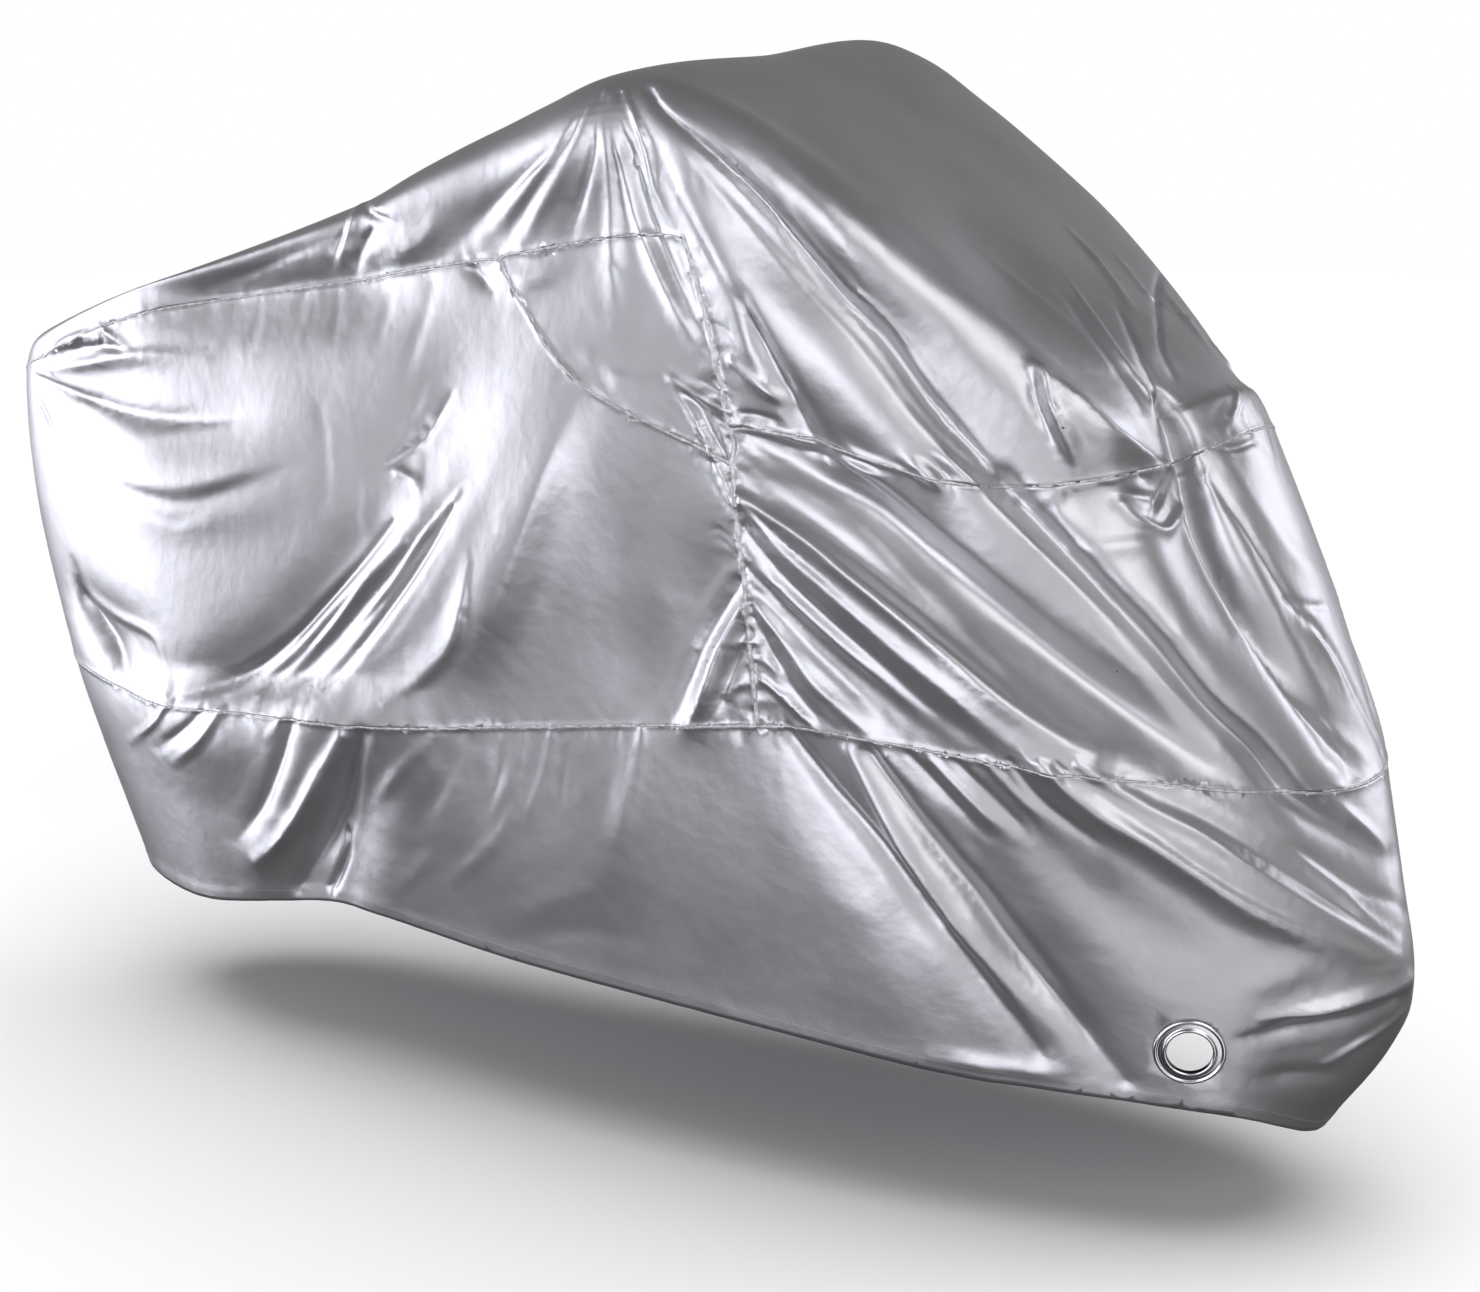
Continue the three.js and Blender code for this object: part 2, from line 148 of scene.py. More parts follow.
def fill_eyelet_holes(cloth):
    """Close the round holes and merge the flat faces round them, because they are cut again at the end."""
    rims = [edge for edge in cloth.edges if edge.is_boundary
            and any((vert.co - centre).length < flat_radius for vert in edge.verts
                    for side, centre, axis in eyelets)]
    bmesh.ops.holes_fill(cloth, edges=rims, sides=0)
    near = [vert for vert in cloth.verts if any((vert.co - centre).length < 2 * flat_radius
                                                for side, centre, axis in eyelets)]
    between = [edge for edge in cloth.edges if all(vert in near for vert in edge.verts)]
    bmesh.ops.dissolve_limit(cloth, angle_limit=math.radians(0.5), verts=near, edges=between)


sheet = bmesh.new()
for number, name in enumerate(cloth_names):
    cloth = bmesh.new()
    cloth.from_mesh(frame["nodes"][name].data)
    bmesh.ops.remove_doubles(cloth, verts=cloth.verts[:], dist=0.02 * MM)
    keep_outer_face(cloth)
    if name == "skirt":
        fill_eyelet_holes(cloth)
    for face in cloth.faces:
        face.material_index = number
    mesh = bpy.data.meshes.new(name)
    cloth.to_mesh(mesh)
    sheet.from_mesh(mesh)
    area = sum(face.calc_area() for face in cloth.faces)
    print(name, len(cloth.faces), "outer faces,", round(area, 3), "square metres")
    cloth.free()
    bpy.data.meshes.remove(mesh)
bmesh.ops.remove_doubles(sheet, verts=[vert for vert in sheet.verts if vert.is_boundary], dist=weld_distance)
bmesh.ops.join_triangles(sheet, faces=sheet.faces[:], cmp_materials=True, cmp_seam=False, cmp_sharp=False,
                         cmp_uvs=False, cmp_vcols=False,
                         angle_face_threshold=math.radians(60), angle_shape_threshold=math.radians(180))
open_edges = [edge for edge in sheet.edges if edge.is_boundary]
print("one sheet:", len(sheet.faces), "faces, of which", sum(len(f.verts) == 4 for f in sheet.faces), "squares,",
      len(open_edges), "edges along the hem")

# %% [markdown]
# ## The cut pattern
#
# A weave or a grain has to follow the cloth, so each cloth needs flat coordinates, as on the cutting table.
# Unwrapping the coarse sheet now is quick, and every later cut carries the coordinates along. The edges
# between two cloths are the seams of the unwrapping too, and the skirt, a closed ring, is opened at the back.
# Afterwards the map is scaled so that one unit is one metre of cloth.

# %% Flat coordinates
for edge in sheet.edges:
    numbers = {face.material_index for face in edge.link_faces}
    behind = all(abs(vert.co.y) < 2 * MM and vert.co.x < -0.9 for vert in edge.verts)
    edge.seam = len(numbers) > 1 or (behind and numbers == {cloth_names.index("skirt")})
sheet_mesh = bpy.data.meshes.new("whole_sheet")
sheet.to_mesh(sheet_mesh)
sheet.free()
whole = bpy.data.objects.new("whole_sheet", sheet_mesh)
bpy.context.scene.collection.objects.link(whole)
bpy.context.view_layer.objects.active = whole
whole.select_set(True)
bpy.ops.object.mode_set(mode="EDIT")
bpy.ops.mesh.select_all(action="SELECT")
bpy.ops.uv.unwrap(method="ANGLE_BASED", margin=0.01)
bpy.ops.object.mode_set(mode="OBJECT")


def flat_area(face, flat):
    corners = [loop[flat].uv for loop in face.loops]
    return abs(sum(a.x * b.y - b.x * a.y for a, b in zip(corners, corners[1:] + corners[:1]))) / 2


def scale_flat_coordinates(mesh):
    sheet = bmesh.new()
    sheet.from_mesh(mesh)
    flat = sheet.loops.layers.uv.verify()
    cloth_area = sum(face.calc_area() for face in sheet.faces)
    factor = math.sqrt(cloth_area / sum(flat_area(face, flat) for face in sheet.faces))
    for face in sheet.faces:
        for loop in face.loops:
            loop[flat].uv *= factor
    sheet.to_mesh(mesh)
    sheet.free()
    return cloth_area


print("cloth area", round(scale_flat_coordinates(sheet_mesh), 2), "square metres")


# %% [markdown]
# ## Creases, listed one by one
#
# Cloth under tension folds along lines, and an eye knows the difference between these and random noise. So
# the main creases are listed one by one. Each one is a path on the cloth with a height: a rib stands out, a
# groove has a negative height. It reaches further on one side than on the other, as a pulled fold does, it is
# narrow at one end and wide at the other, and it is crisp along its line and soft at its feet.
#
# Two kinds are needed. A swell is the body of a big fold, round and a hand wide. A crease is the crisp line
# on it. Columns of both: name, height, reach to the left and right of the path, fullness at its start and
# end, width at its start and end, and the path's points. Heights, reaches and points are in millimetres from the crown.

# %% Swells on the right side
swells = [
    ("hood's ridge", 4, (80, 60), (0.3, 0.2), (0.4, 1.2),
     [(40, -330, -20), (115, -360, -50), (180, -365, -90), (245, -365, -135), (295, -360, -195),
      (330, -340, -255), (365, -320, -315)]),
    ("long valley's sides, above", -4, (24, 30), (0.4, 0.8), (0.3, 1.1),
     [(45, -355, -35), (145, -380, -105), (210, -370, -165), (275, -350, -240), (330, -335, -295),
      (380, -315, -365), (430, -300, -420), (470, -285, -465)]),
    ("long valley's sides, below", -8, (28, 36), (0.8, 0.3), (1, 1),
     [(460, -290, -455), (520, -270, -520), (570, -250, -575), (610, -230, -620), (660, -205, -690),
      (710, -170, -745), (745, -135, -800), (785, -80, -850), (825, -5, -895)]),
    ("broad fold below the tip", 1, (50, 50), (0.2, 0.3), (0.3, 1.2),
     [(85, -380, -100), (140, -380, -175), (205, -380, -250), (265, -375, -320), (330, -355, -395)]),
    ("trough of the dark triangle", -6, (26, 22), (0.2, 0.4), (0.6, 1.2),
     [(175, -380, -250), (195, -380, -300), (220, -370, -355), (255, -350, -415)]),
    ("trough under the cross seam", -18, (40, 48), (0.5, 0.3), (0.6, 1.2),
     [(170, -355, -425), (235, -345, -450), (315, -330, -490), (395, -315, -545), (480, -285, -615),
      (565, -255, -680), (645, -215, -740), (720, -160, -800)]),
    ("broad gather rib", 7.5, (32, 32), (0.5, 0.3), (0.5, 1.2),
     [(170, -365, -490), (245, -360, -525), (305, -355, -565), (365, -350, -605), (425, -345, -650),
      (480, -330, -690), (570, -290, -750)]),
    ("trough before that rib", -8.5, (26, 30), (0.4, 0.3), (0.5, 1.3),
     [(175, -355, -565), (235, -345, -625), (310, -345, -680), (400, -335, -730)]),
    ("broad fold beside the valley", 2, (30, 26), (0.3, 0.3), (0.8, 1.1),
     [(350, -345, -385), (410, -320, -445), (470, -295, -520), (535, -260, -590), (600, -230, -670),
      (665, -200, -740), (735, -145, -805)]),
    ("front panel's shoulder", 4, (50, 18), (0.2, 0.3), (0.8, 1.1),
     [(515, -265, -490), (570, -250, -560), (625, -225, -625), (675, -195, -690), (750, -125, -790)]),
    ("front panel's other shoulder", 5, (16, 50), (0.3, 0.3), (0.7, 1.1),
     [(610, -120, -485), (655, -120, -580), (700, -100, -655), (755, -50, -745)]),
    ("trough of the front valley", -20, (32, 28), (0.4, 0.4), (0.7, 1.2),
     [(570, -110, -385), (605, -120, -470), (645, -120, -560), (695, -105, -650), (765, -70, -755)]),
    ("hollow between the two valleys", -3.5, (40, 40), (0.2, 0.2), (0.8, 1.2),
     [(565, -225, -440), (545, -250, -470), (515, -265, -485)]),
    ("knee, broad hollow 1", -8, (28, 26), (0.4, 0.3), (0.6, 1.3),
     [(215, -330, -765), (265, -325, -820), (325, -315, -885), (380, -300, -960), (440, -275, -1040),
      (500, -250, -1110)]),
    ("knee, broad crest", 4, (20, 20), (0.4, 0.3), (0.6, 1.2),
     [(295, -340, -765), (340, -330, -845), (385, -315, -915), (430, -295, -985), (475, -270, -1050)]),
    ("knee, broad hollow 2", -9, (26, 28), (0.5, 0.3), (0.6, 1.4),
     [(320, -340, -770), (380, -325, -850), (435, -300, -925), (485, -275, -995), (545, -240, -1075)]),
    ("front band's body", 8.5, (26, 40), (0.4, 0.2), (0.6, 1.2),
     [(535, -315, -760), (590, -275, -805), (660, -240, -850), (725, -195, -900), (785, -135, -945),
      (850, -50, -1000)]),
    ("hollow under the front band", -4, (40, 50), (0.3, 0.2), (0.8, 1.2),
     [(475, -315, -800), (555, -275, -890), (635, -235, -950), (735, -180, -980)]),
    ("bluish fold's body", 3, (56, 60), (0.2, 0.3), (0.8, 1.1),
     [(-40, -355, -365), (-80, -355, -450), (-135, -355, -550), (-195, -345, -655), (-265, -330, -755)]),
    ("trough behind the bluish fold", -8.5, (40, 34), (0.2, 0.4), (0.8, 1.2),
     [(-220, -345, -485), (-285, -345, -565), (-370, -335, -650), (-475, -310, -735),
      (-585, -285, -815)]),
    ("side fold's body", 7, (30, 34), (0.3, 0.3), (0.8, 1.1),
     [(-305, -340, -555), (-420, -310, -650), (-545, -285, -750), (-665, -270, -825)]),
    ("hollow of the side", -3, (60, 50), (0.2, 0.2), (1, 1),
     [(30, -355, -475), (-5, -345, -575), (-40, -335, -675), (-110, -325, -760)]),
    ("stray fold's body", 7.5, (22, 24), (0.5, 0.3), (0.5, 1.3),
     [(165, -350, -610), (135, -350, -665), (110, -350, -720), (85, -340, -760)]),
    ("skirt fold's body", 6, (26, 26), (0.4, 0.4), (0.7, 1.2),
     [(-445, -305, -845), (-500, -300, -915), (-555, -290, -985), (-650, -260, -1065)]),
    ("skirt fold's hollow", -10, (24, 28), (0.4, 0.4), (0.7, 1.2),
     [(-410, -305, -840), (-465, -280, -920), (-510, -265, -1000), (-570, -250, -1090)]),
    ("tail's hollow", -3.5, (40, 44), (0.3, 0.2), (0.6, 1.2),
     [(-1095, -180, -465), (-940, -220, -475), (-770, -265, -480), (-610, -290, -460)]),
    ("tail's shelf", 3.5, (56, 50), (0.2, 0.2), (0.7, 1.1),
     [(-935, -240, -530), (-780, -280, -530), (-640, -295, -510), (-515, -305, -465)]),
    ("tail pocket's body", -8.5, (34, 34), (0.2, 0.3), (0.6, 1.2),
     [(-1040, -190, -715), (-1005, -185, -785), (-915, -215, -845)]),
    ("wedge's body", 7, (26, 20), (0.2, 0.4), (0.6, 1.1),
     [(745, -165, -1050), (795, -120, -1040), (850, -45, -1030)]),
    ("rear skirt's shoulder", 20, (60, 170), (0, 0), (0.8, 1.1),
     [(-980, -195, -880), (-745, -260, -860), (-540, -295, -840), (-360, -315, -820),
      (-170, -320, -800)]),
    ("crumple's body", 9, (22, 44), (0.4, 0.4), (0.6, 1.1),
     [(495, -265, -340), (535, -255, -390), (575, -220, -430)]),
    ("sunken seam of the tail", -17, (44, 96), (0.1, 0), (0.8, 1.1),
     [(-875, -240, -345), (-710, -265, -315), (-525, -285, -290), (-355, -300, -265),
      (-220, -315, -245)]),
]

# %% Creases on the right side
creases = [
    ("tip fan, back edge", -4, (19, 26), (0.5, 0.3), (0.3, 1.4),
     [(-35, -360, -50), (-65, -365, -95), (-140, -350, -140), (-270, -310, -230)]),
    ("tip fan, first rib", 3, (18, 18), (0.5, 0.3), (0.3, 1.3),
     [(-35, -360, -50), (-80, -365, -105), (-160, -335, -170), (-235, -315, -225)]),
    ("tip fan, first groove", -3, (14, 14), (0.5, 0.3), (0.3, 1.3),
     [(-30, -360, -50), (-65, -365, -105), (-135, -340, -175), (-190, -325, -225)]),
    ("tip fan, second rib", 3, (15, 15), (0.5, 0.3), (0.3, 1.3),
     [(-30, -360, -50), (-50, -370, -105), (-110, -350, -170), (-150, -330, -215)]),
    ("tip fan, second groove", -3, (12, 12), (0.5, 0.3), (0.3, 1.3),
     [(-25, -360, -50), (-40, -370, -105), (-75, -350, -165), (-545, 280, -270)]),
    ("tip fan, dark groove", -4.5, (12, 12), (0.6, 0.3), (0.4, 1.3),
     [(-20, -355, -45), (-25, -365, -105), (-50, -350, -160), (-75, -340, -205)]),
    ("tip fan, upright rib", 4.5, (18, 18), (0.6, 0.2), (0.4, 1.6),
     [(-15, -350, -35), (-5, -360, -105), (-10, -350, -200), (-5, -350, -295)]),
    ("tip fan, left lip of the grey groove", 5, (14, 18), (0.5, 0.3), (0.4, 1.3),
     [(-5, -355, -40), (10, -360, -105), (25, -350, -175), (55, -355, -235), (100, -360, -300),
      (135, -360, -345)]),
    ("tip fan, grey groove", -6, (15, 14), (0.7, 0.2), (0.4, 1.3),
     [(5, -355, -40), (25, -365, -100), (40, -355, -160), (55, -355, -200), (80, -360, -245),
      (115, -360, -305)]),
    ("tip fan, right lip of the grey groove", 4.5, (15, 12), (0.6, 0.2), (0.4, 1.2),
     [(10, -355, -35), (45, -370, -85), (60, -365, -145), (85, -360, -195)]),
    ("tip fan, thin crease", -3, (8, 8), (0.6, 0.3), (0.5, 1.2),
     [(25, -360, -45), (65, -375, -100), (110, -375, -170), (150, -380, -230), (175, -380, -265)]),
    ("broad white fold", 3.5, (14, 70), (0.4, 0.3), (0.4, 1.1),
     [(45, -360, -45), (115, -380, -110), (185, -370, -180), (250, -360, -250), (305, -350, -305),
      (360, -335, -375), (410, -320, -430)]),
    ("long valley, upper part", -7.5, (12, 16), (0.7, 0.7), (0.5, 1),
     [(45, -355, -35), (75, -370, -60), (145, -380, -105), (210, -370, -165), (275, -350, -240),
      (330, -335, -295), (380, -315, -365), (430, -300, -420), (470, -285, -465)]),
    ("long valley, lower part", -12, (19, 22), (0.7, 0.2), (0.9, 1.1),
     [(460, -290, -455), (520, -270, -520), (570, -250, -575), (610, -230, -620), (660, -205, -690),
      (710, -170, -745), (745, -135, -800), (785, -80, -850), (825, -5, -895)]),
    ("hood's edge", 6, (96, 70), (0.5, 0.2), (0.5, 1.3),
     [(50, -345, -30), (120, -355, -50), (185, -360, -85), (245, -365, -130), (295, -360, -195),
      (325, -340, -255), (355, -325, -305)]),
    ("white fold left of the long valley", 4.5, (14, 18), (0.2, 0.3), (0.7, 1),
     [(360, -335, -375), (415, -315, -435), (480, -290, -505), (540, -260, -570), (600, -235, -640),
      (660, -200, -715), (725, -150, -795)]),
    ("dark triangle", -7, (32, 19), (0.2, 0.6), (0.6, 1.2),
     [(180, -380, -260), (195, -380, -300), (220, -370, -345), (255, -350, -420)]),
    ("rib out of the seam", 4.5, (12, 14), (0.8, 0.2), (0.8, 1),
     [(160, -365, -330), (195, -365, -355), (240, -360, -380)]),
    ("small dark groove", -3.5, (6, 8), (0.8, 0.2), (1, 1),
     [(160, -360, -390), (185, -360, -390), (215, -355, -395)]),
    ("lip of the small groove", 2.5, (6, 8), (0.8, 0.5), (1, 1),
     [(155, -360, -400), (195, -355, -405), (235, -350, -415), (275, -345, -430)]),
    ("shadow under the cross seam", -10, (14, 35), (0.6, 0.2), (0.5, 1.4),
     [(170, -360, -410), (225, -350, -425), (280, -345, -440), (335, -330, -475), (395, -315, -525)]),
    ("first gather blob", 6, (10, 14), (0.3, 0.3), (1, 1),
     [(280, -345, -430), (305, -340, -440), (335, -335, -450)]),
    ("second gather blob", 6, (12, 12), (0.3, 0.2), (1, 1.2),
     [(360, -340, -425), (380, -330, -440), (405, -325, -465)]),
    ("third gather blob", 5, (10, 10), (0.3, 0.2), (1, 1.2),
     [(395, -320, -420), (420, -315, -440), (445, -305, -460)]),
    ("groove between the blobs", -4, (8, 8), (0.4, 0.2), (1, 1),
     [(385, -330, -425), (405, -325, -445), (415, -320, -465)]),
    ("gather rib 1", 2, (15, 15), (0.7, 0.2), (0.5, 1.8),
     [(160, -360, -415), (205, -350, -445), (295, -335, -500), (360, -325, -550), (420, -315, -595)]),
    ("gather groove 1", -2, (15, 18), (0.6, 0.2), (0.5, 1.8),
     [(165, -360, -445), (240, -350, -495), (325, -340, -550), (405, -330, -600), (475, -300, -640)]),
    ("gather rib 2, upper line", 6, (22, 18), (0.7, 0.4), (0.5, 1.3),
     [(165, -365, -480), (245, -360, -520), (305, -355, -560), (365, -350, -600), (425, -345, -640),
      (480, -330, -685), (530, -310, -720), (570, -285, -745)]),
    ("gather groove 2", -2, (14, 14), (0.5, 0.5), (0.4, 1.5),
     [(175, -365, -495), (245, -360, -545), (310, -360, -580), (370, -355, -620), (425, -345, -660),
      (480, -335, -705), (535, -315, -740)]),
    ("gather rib 2, lower line", 4, (14, 21), (0.7, 0.4), (0.5, 1.3),
     [(170, -365, -490), (220, -360, -540), (270, -360, -575), (370, -355, -645), (430, -350, -685),
      (480, -335, -725), (520, -320, -750)]),
    ("gather groove 3", -6, (21, 21), (0.6, 0.2), (0.5, 1.5),
     [(170, -360, -520), (240, -355, -590), (330, -350, -655), (410, -340, -710), (465, -330, -740)]),
    ("gather rib 3", 4, (18, 18), (0.7, 0.3), (0.5, 1.4),
     [(170, -355, -555), (240, -350, -605), (300, -345, -650), (385, -340, -705), (440, -335, -740)]),
    ("gather groove 4", -4, (14, 15), (0.6, 0.2), (0.6, 1.3),
     [(175, -355, -585), (235, -345, -645), (300, -340, -695), (365, -335, -745)]),
    ("gather rib 4", 5, (12, 14), (0.7, 0.3), (0.6, 1.3),
     [(180, -355, -605), (210, -345, -640), (250, -340, -690), (300, -340, -725), (340, -335, -755)]),
    ("gather groove 5", -4.5, (12, 14), (0.5, 0.3), (0.7, 1.2),
     [(180, -355, -625), (210, -340, -680), (240, -340, -720), (285, -340, -750)]),
    ("gather rib 5", 4.5, (9, 10), (0.8, 0.3), (0.7, 1),
     [(185, -340, -695), (220, -335, -720), (255, -335, -750)]),
    ("gather rib 6", 2.5, (6, 8), (0.7, 0.3), (1, 1),
     [(175, -345, -670), (195, -345, -675), (220, -340, -695)]),
    ("low groove before the skirt", -2.5, (19, 22), (0.3, 0.3), (1, 1.2),
     [(415, -310, -540), (500, -280, -625), (585, -245, -695), (665, -205, -760)]),
    ("stray fold, crest", 7.5, (21, 19), (0.7, 0.4), (0.5, 1.3),
     [(170, -355, -605), (135, -350, -665), (115, -350, -715), (85, -340, -765)]),
    ("stray fold, back hollow", -7.5, (24, 32), (0.6, 0.3), (0.5, 1.3),
     [(160, -350, -585), (110, -345, -655), (80, -340, -720), (60, -335, -760)]),
    ("stray fold, front hollow", -5, (18, 18), (0.5, 0.4), (0.6, 1.2),
     [(170, -350, -640), (140, -345, -705), (125, -340, -755)]),
    ("arc under the gathers", 3, (9, 10), (0.4, 0.3), (1, 1),
     [(185, -350, -650), (160, -350, -655), (150, -350, -670)]),
    ("arc above the skirt", 3, (10, 14), (0.4, 0.3), (1, 1),
     [(185, -340, -700), (155, -345, -705), (135, -345, -725)]),
    ("bright stroke in the gusset", 5, (14, 12), (0.3, 0.7), (1, 0.6),
     [(75, -360, -360), (100, -360, -390), (125, -360, -430), (160, -365, -495)]),
    ("dark stroke in the gusset", -4.5, (12, 12), (0.3, 0.7), (1, 0.7),
     [(90, -360, -365), (120, -360, -400), (155, -360, -460)]),
    ("gusset rib", 4.5, (10, 12), (0.3, 0.8), (1, 0.8),
     [(60, -360, -345), (105, -360, -370), (160, -360, -390)]),
    ("gusset groove", -3, (8, 8), (0.3, 0.8), (1, 0.8),
     [(80, -360, -365), (115, -360, -385), (155, -360, -410)]),
    ("gusset dart", -2.5, (6, 6), (0.3, 0.8), (1, 0.8),
     [(110, -360, -355), (135, -360, -365), (155, -360, -375)]),
    ("gusset crinkle 1", 2, (10, 14), (0.2, 0.2), (1, 1),
     [(-60, -350, -325), (-30, -350, -350), (0, -355, -390)]),
    ("gusset crinkle 2", -2, (10, 10), (0.2, 0.2), (1, 1),
     [(-20, -350, -330), (-10, -355, -355), (30, -355, -370)]),
    ("gusset crinkle 3", 1.5, (8, 8), (0.2, 0.2), (1, 1),
     [(-40, -350, -345), (15, -355, -350), (60, -360, -345)]),
    ("dart 1 at the gathered seam", -2, (5, 5), (0.3, 0.9), (1, 0.8),
     [(115, -355, -515), (140, -355, -525), (165, -355, -540)]),
    ("dart 2 at the gathered seam", -2, (5, 5), (0.3, 0.9), (1, 0.8),
     [(125, -355, -530), (145, -355, -540), (170, -355, -555)]),
    ("dart 3 at the gathered seam", -2, (5, 6), (0.3, 0.9), (1, 0.8),
     [(120, -355, -455), (140, -360, -480), (165, -360, -510)]),
    ("pocket at the gusset's corner", -6, (14, 15), (0.3, 0.5), (1, 1),
     [(-250, -310, -240), (-225, -315, -255), (-200, -320, -270)]),
    ("light patch in the gusset", 3.5, (22, 19), (0.3, 0.3), (1, 1),
     [(-180, -325, -250), (-130, -335, -255), (-80, -340, -235)]),
    ("notch in the top, short", -5, (10, 12), (0.7, 0.2), (0.8, 1),
     [(-435, -260, -180), (-395, -300, -190), (-350, -310, -200)]),
    ("notch in the top, long", -5, (14, 14), (0.6, 0.3), (0.7, 1.2),
     [(-400, -295, -210), (-430, -285, -240), (-450, -285, -265)]),
    ("notch in the top, back", -4, (12, 12), (0.6, 0.3), (0.7, 1.2),
     [(-445, -290, -200), (-460, -285, -225), (-480, -285, -255)]),
    ("lip of the notch", 4, (10, 12), (0.7, 0.3), (0.8, 1),
     [(-440, -260, -180), (-435, -290, -200), (-460, -285, -250)]),
    ("top's band, light facet", 4, (35, 32), (0.2, 0.2), (1, 1),
     [(-385, -295, -250), (-315, -310, -220), (-260, -325, -175)]),
    ("top's band, dark facet", -5, (22, 29), (0.3, 0.3), (1, 1),
     [(-710, -265, -295), (-600, -275, -265), (-465, -290, -220)]),
    ("bright band on the tail", 6, (13, 26), (0.5, 0.2), (0.6, 1.4),
     [(-1060, -190, -430), (-950, -225, -410), (-830, -255, -390), (-700, -275, -385)]),
    ("grey band on the tail", -4.5, (14, 14), (0.8, 0.2), (0.6, 1.5),
     [(-1110, -170, -445), (-1030, -200, -455), (-945, -220, -465), (-815, -255, -470),
      (-645, -285, -460)]),
    ("lip under the grey band", 3.5, (11, 42), (0.5, 0.2), (0.7, 1.3),
     [(-1070, -185, -470), (-955, -220, -475), (-835, -255, -495), (-710, -275, -480),
      (-590, -295, -460)]),
    ("short crease on the tail", -4.5, (9, 10), (0.6, 0.3), (0.8, 1),
     [(-1105, -175, -475), (-1080, -185, -500), (-1055, -195, -530)]),
    ("tail facet 1", 4, (10, 12), (0.3, 0.3), (1, 1),
     [(-945, -225, -350), (-910, -235, -365), (-845, -250, -390)]),
    ("tail facet 2", -4, (10, 12), (0.3, 0.3), (1, 1),
     [(-1040, -195, -410), (-950, -225, -390), (-850, -250, -385)]),
    ("tail facet 3", 4, (10, 10), (0.3, 0.3), (1, 1),
     [(-1055, -195, -405), (-995, -215, -380), (-930, -230, -370)]),
    ("tail facet 4", -2.5, (8, 8), (0.3, 0.3), (1, 1),
     [(-930, -230, -360), (-915, -235, -375), (-930, -235, -390)]),
    ("flap at the tail seam", 3, (12, 9), (0.2, 0.2), (1, 1),
     [(-860, -245, -330), (-790, -255, -320), (-720, -265, -315)]),
    ("ledge, bright lip", 3.5, (48, 11), (0.2, 0.2), (0.6, 1.2),
     [(-940, -240, -550), (-830, -275, -560), (-735, -295, -555), (-645, -305, -535),
      (-570, -310, -510), (-505, -310, -485)]),
    ("ledge, shadow", -3.5, (11, 35), (0.3, 0.2), (0.7, 1.2),
     [(-930, -245, -565), (-830, -275, -575), (-735, -295, -575), (-640, -305, -550),
      (-545, -310, -515)]),
    ("ledge, lower shadow", -2, (18, 12), (0.3, 0.2), (0.8, 1),
     [(-895, -255, -585), (-815, -275, -600), (-750, -290, -605), (-690, -300, -585)]),
    ("tail pocket", -8.5, (29, 29), (0.2, 0.4), (0.5, 1.3),
     [(-1040, -190, -700), (-1030, -180, -760), (-975, -195, -800), (-925, -215, -850)]),
    ("tail pocket's fold", 2, (10, 10), (0.3, 0.5), (1, 1),
     [(-880, -230, -790), (-905, -215, -825), (-930, -215, -860)]),
    ("tail pocket's lip", 3, (18, 12), (0.3, 0.4), (1, 1),
     [(-1025, -185, -740), (-930, -215, -765), (-840, -250, -775), (-815, -250, -810),
      (-805, -250, -855)]),
    ("side fold 1, dark", -10, (21, 18), (0.3, 0.3), (0.6, 1.1),
     [(-355, -320, -565), (-405, -315, -615), (-480, -300, -680), (-565, -285, -750),
      (-665, -270, -810), (-795, -255, -855)]),
    ("side fold 1, bright", 4.5, (14, 14), (0.3, 0.4), (0.7, 1.2),
     [(-330, -335, -585), (-395, -320, -640), (-480, -305, -720), (-610, -280, -825)]),
    ("side fold 2, lip", 4.5, (9, 12), (0.5, 0.2), (0.6, 1),
     [(-240, -345, -515), (-300, -340, -575), (-370, -335, -650), (-455, -315, -725)]),
    ("side fold 2, dark", -7, (16, 15), (0.4, 0.4), (0.6, 1.3),
     [(-250, -345, -535), (-295, -345, -595), (-365, -335, -675), (-445, -320, -755),
      (-525, -300, -820)]),
    ("broad bluish fold, lower lip", 6, (14, 42), (0.2, 0.4), (0.7, 1.2),
     [(-220, -355, -595), (-235, -345, -660), (-260, -340, -710), (-310, -330, -755),
      (-375, -320, -795)]),
    ("broad bluish fold, crest", 6, (54, 64), (0.2, 0.2), (0.8, 1.2),
     [(-55, -355, -385), (-100, -355, -475), (-150, -355, -585), (-215, -340, -695), (-260, -330, -750)]),
    ("notch on the side, dark", -4.5, (14, 12), (0.4, 0.5), (0.7, 1),
     [(-265, -315, -400), (-290, -315, -430), (-320, -315, -465), (-365, -315, -495)]),
    ("notch on the side, bright", 3, (9, 12), (0.3, 0.4), (0.8, 1),
     [(-300, -315, -390), (-300, -310, -410), (-325, -310, -440), (-365, -315, -485)]),
    ("notch on the side, spot", 4, (10, 14), (0.4, 0.2), (1, 1),
     [(-365, -315, -500), (-335, -315, -505), (-305, -330, -515)]),
    ("upright crease 1", -1.5, (10, 10), (0.8, 0.2), (0.8, 1.2),
     [(-615, -275, -305), (-615, -280, -340), (-620, -285, -375)]),
    ("upright crease 2", -1.5, (10, 10), (0.8, 0.2), (0.8, 1.2),
     [(-475, -290, -290), (-470, -295, -315), (-470, -295, -350)]),
    ("upright crease 3", -1.5, (12, 12), (0.8, 0.2), (0.8, 1.2),
     [(-380, -300, -280), (-380, -305, -310), (-395, -305, -355)]),
    ("upright crease 4", -2, (14, 14), (0.8, 0.2), (0.8, 1.3),
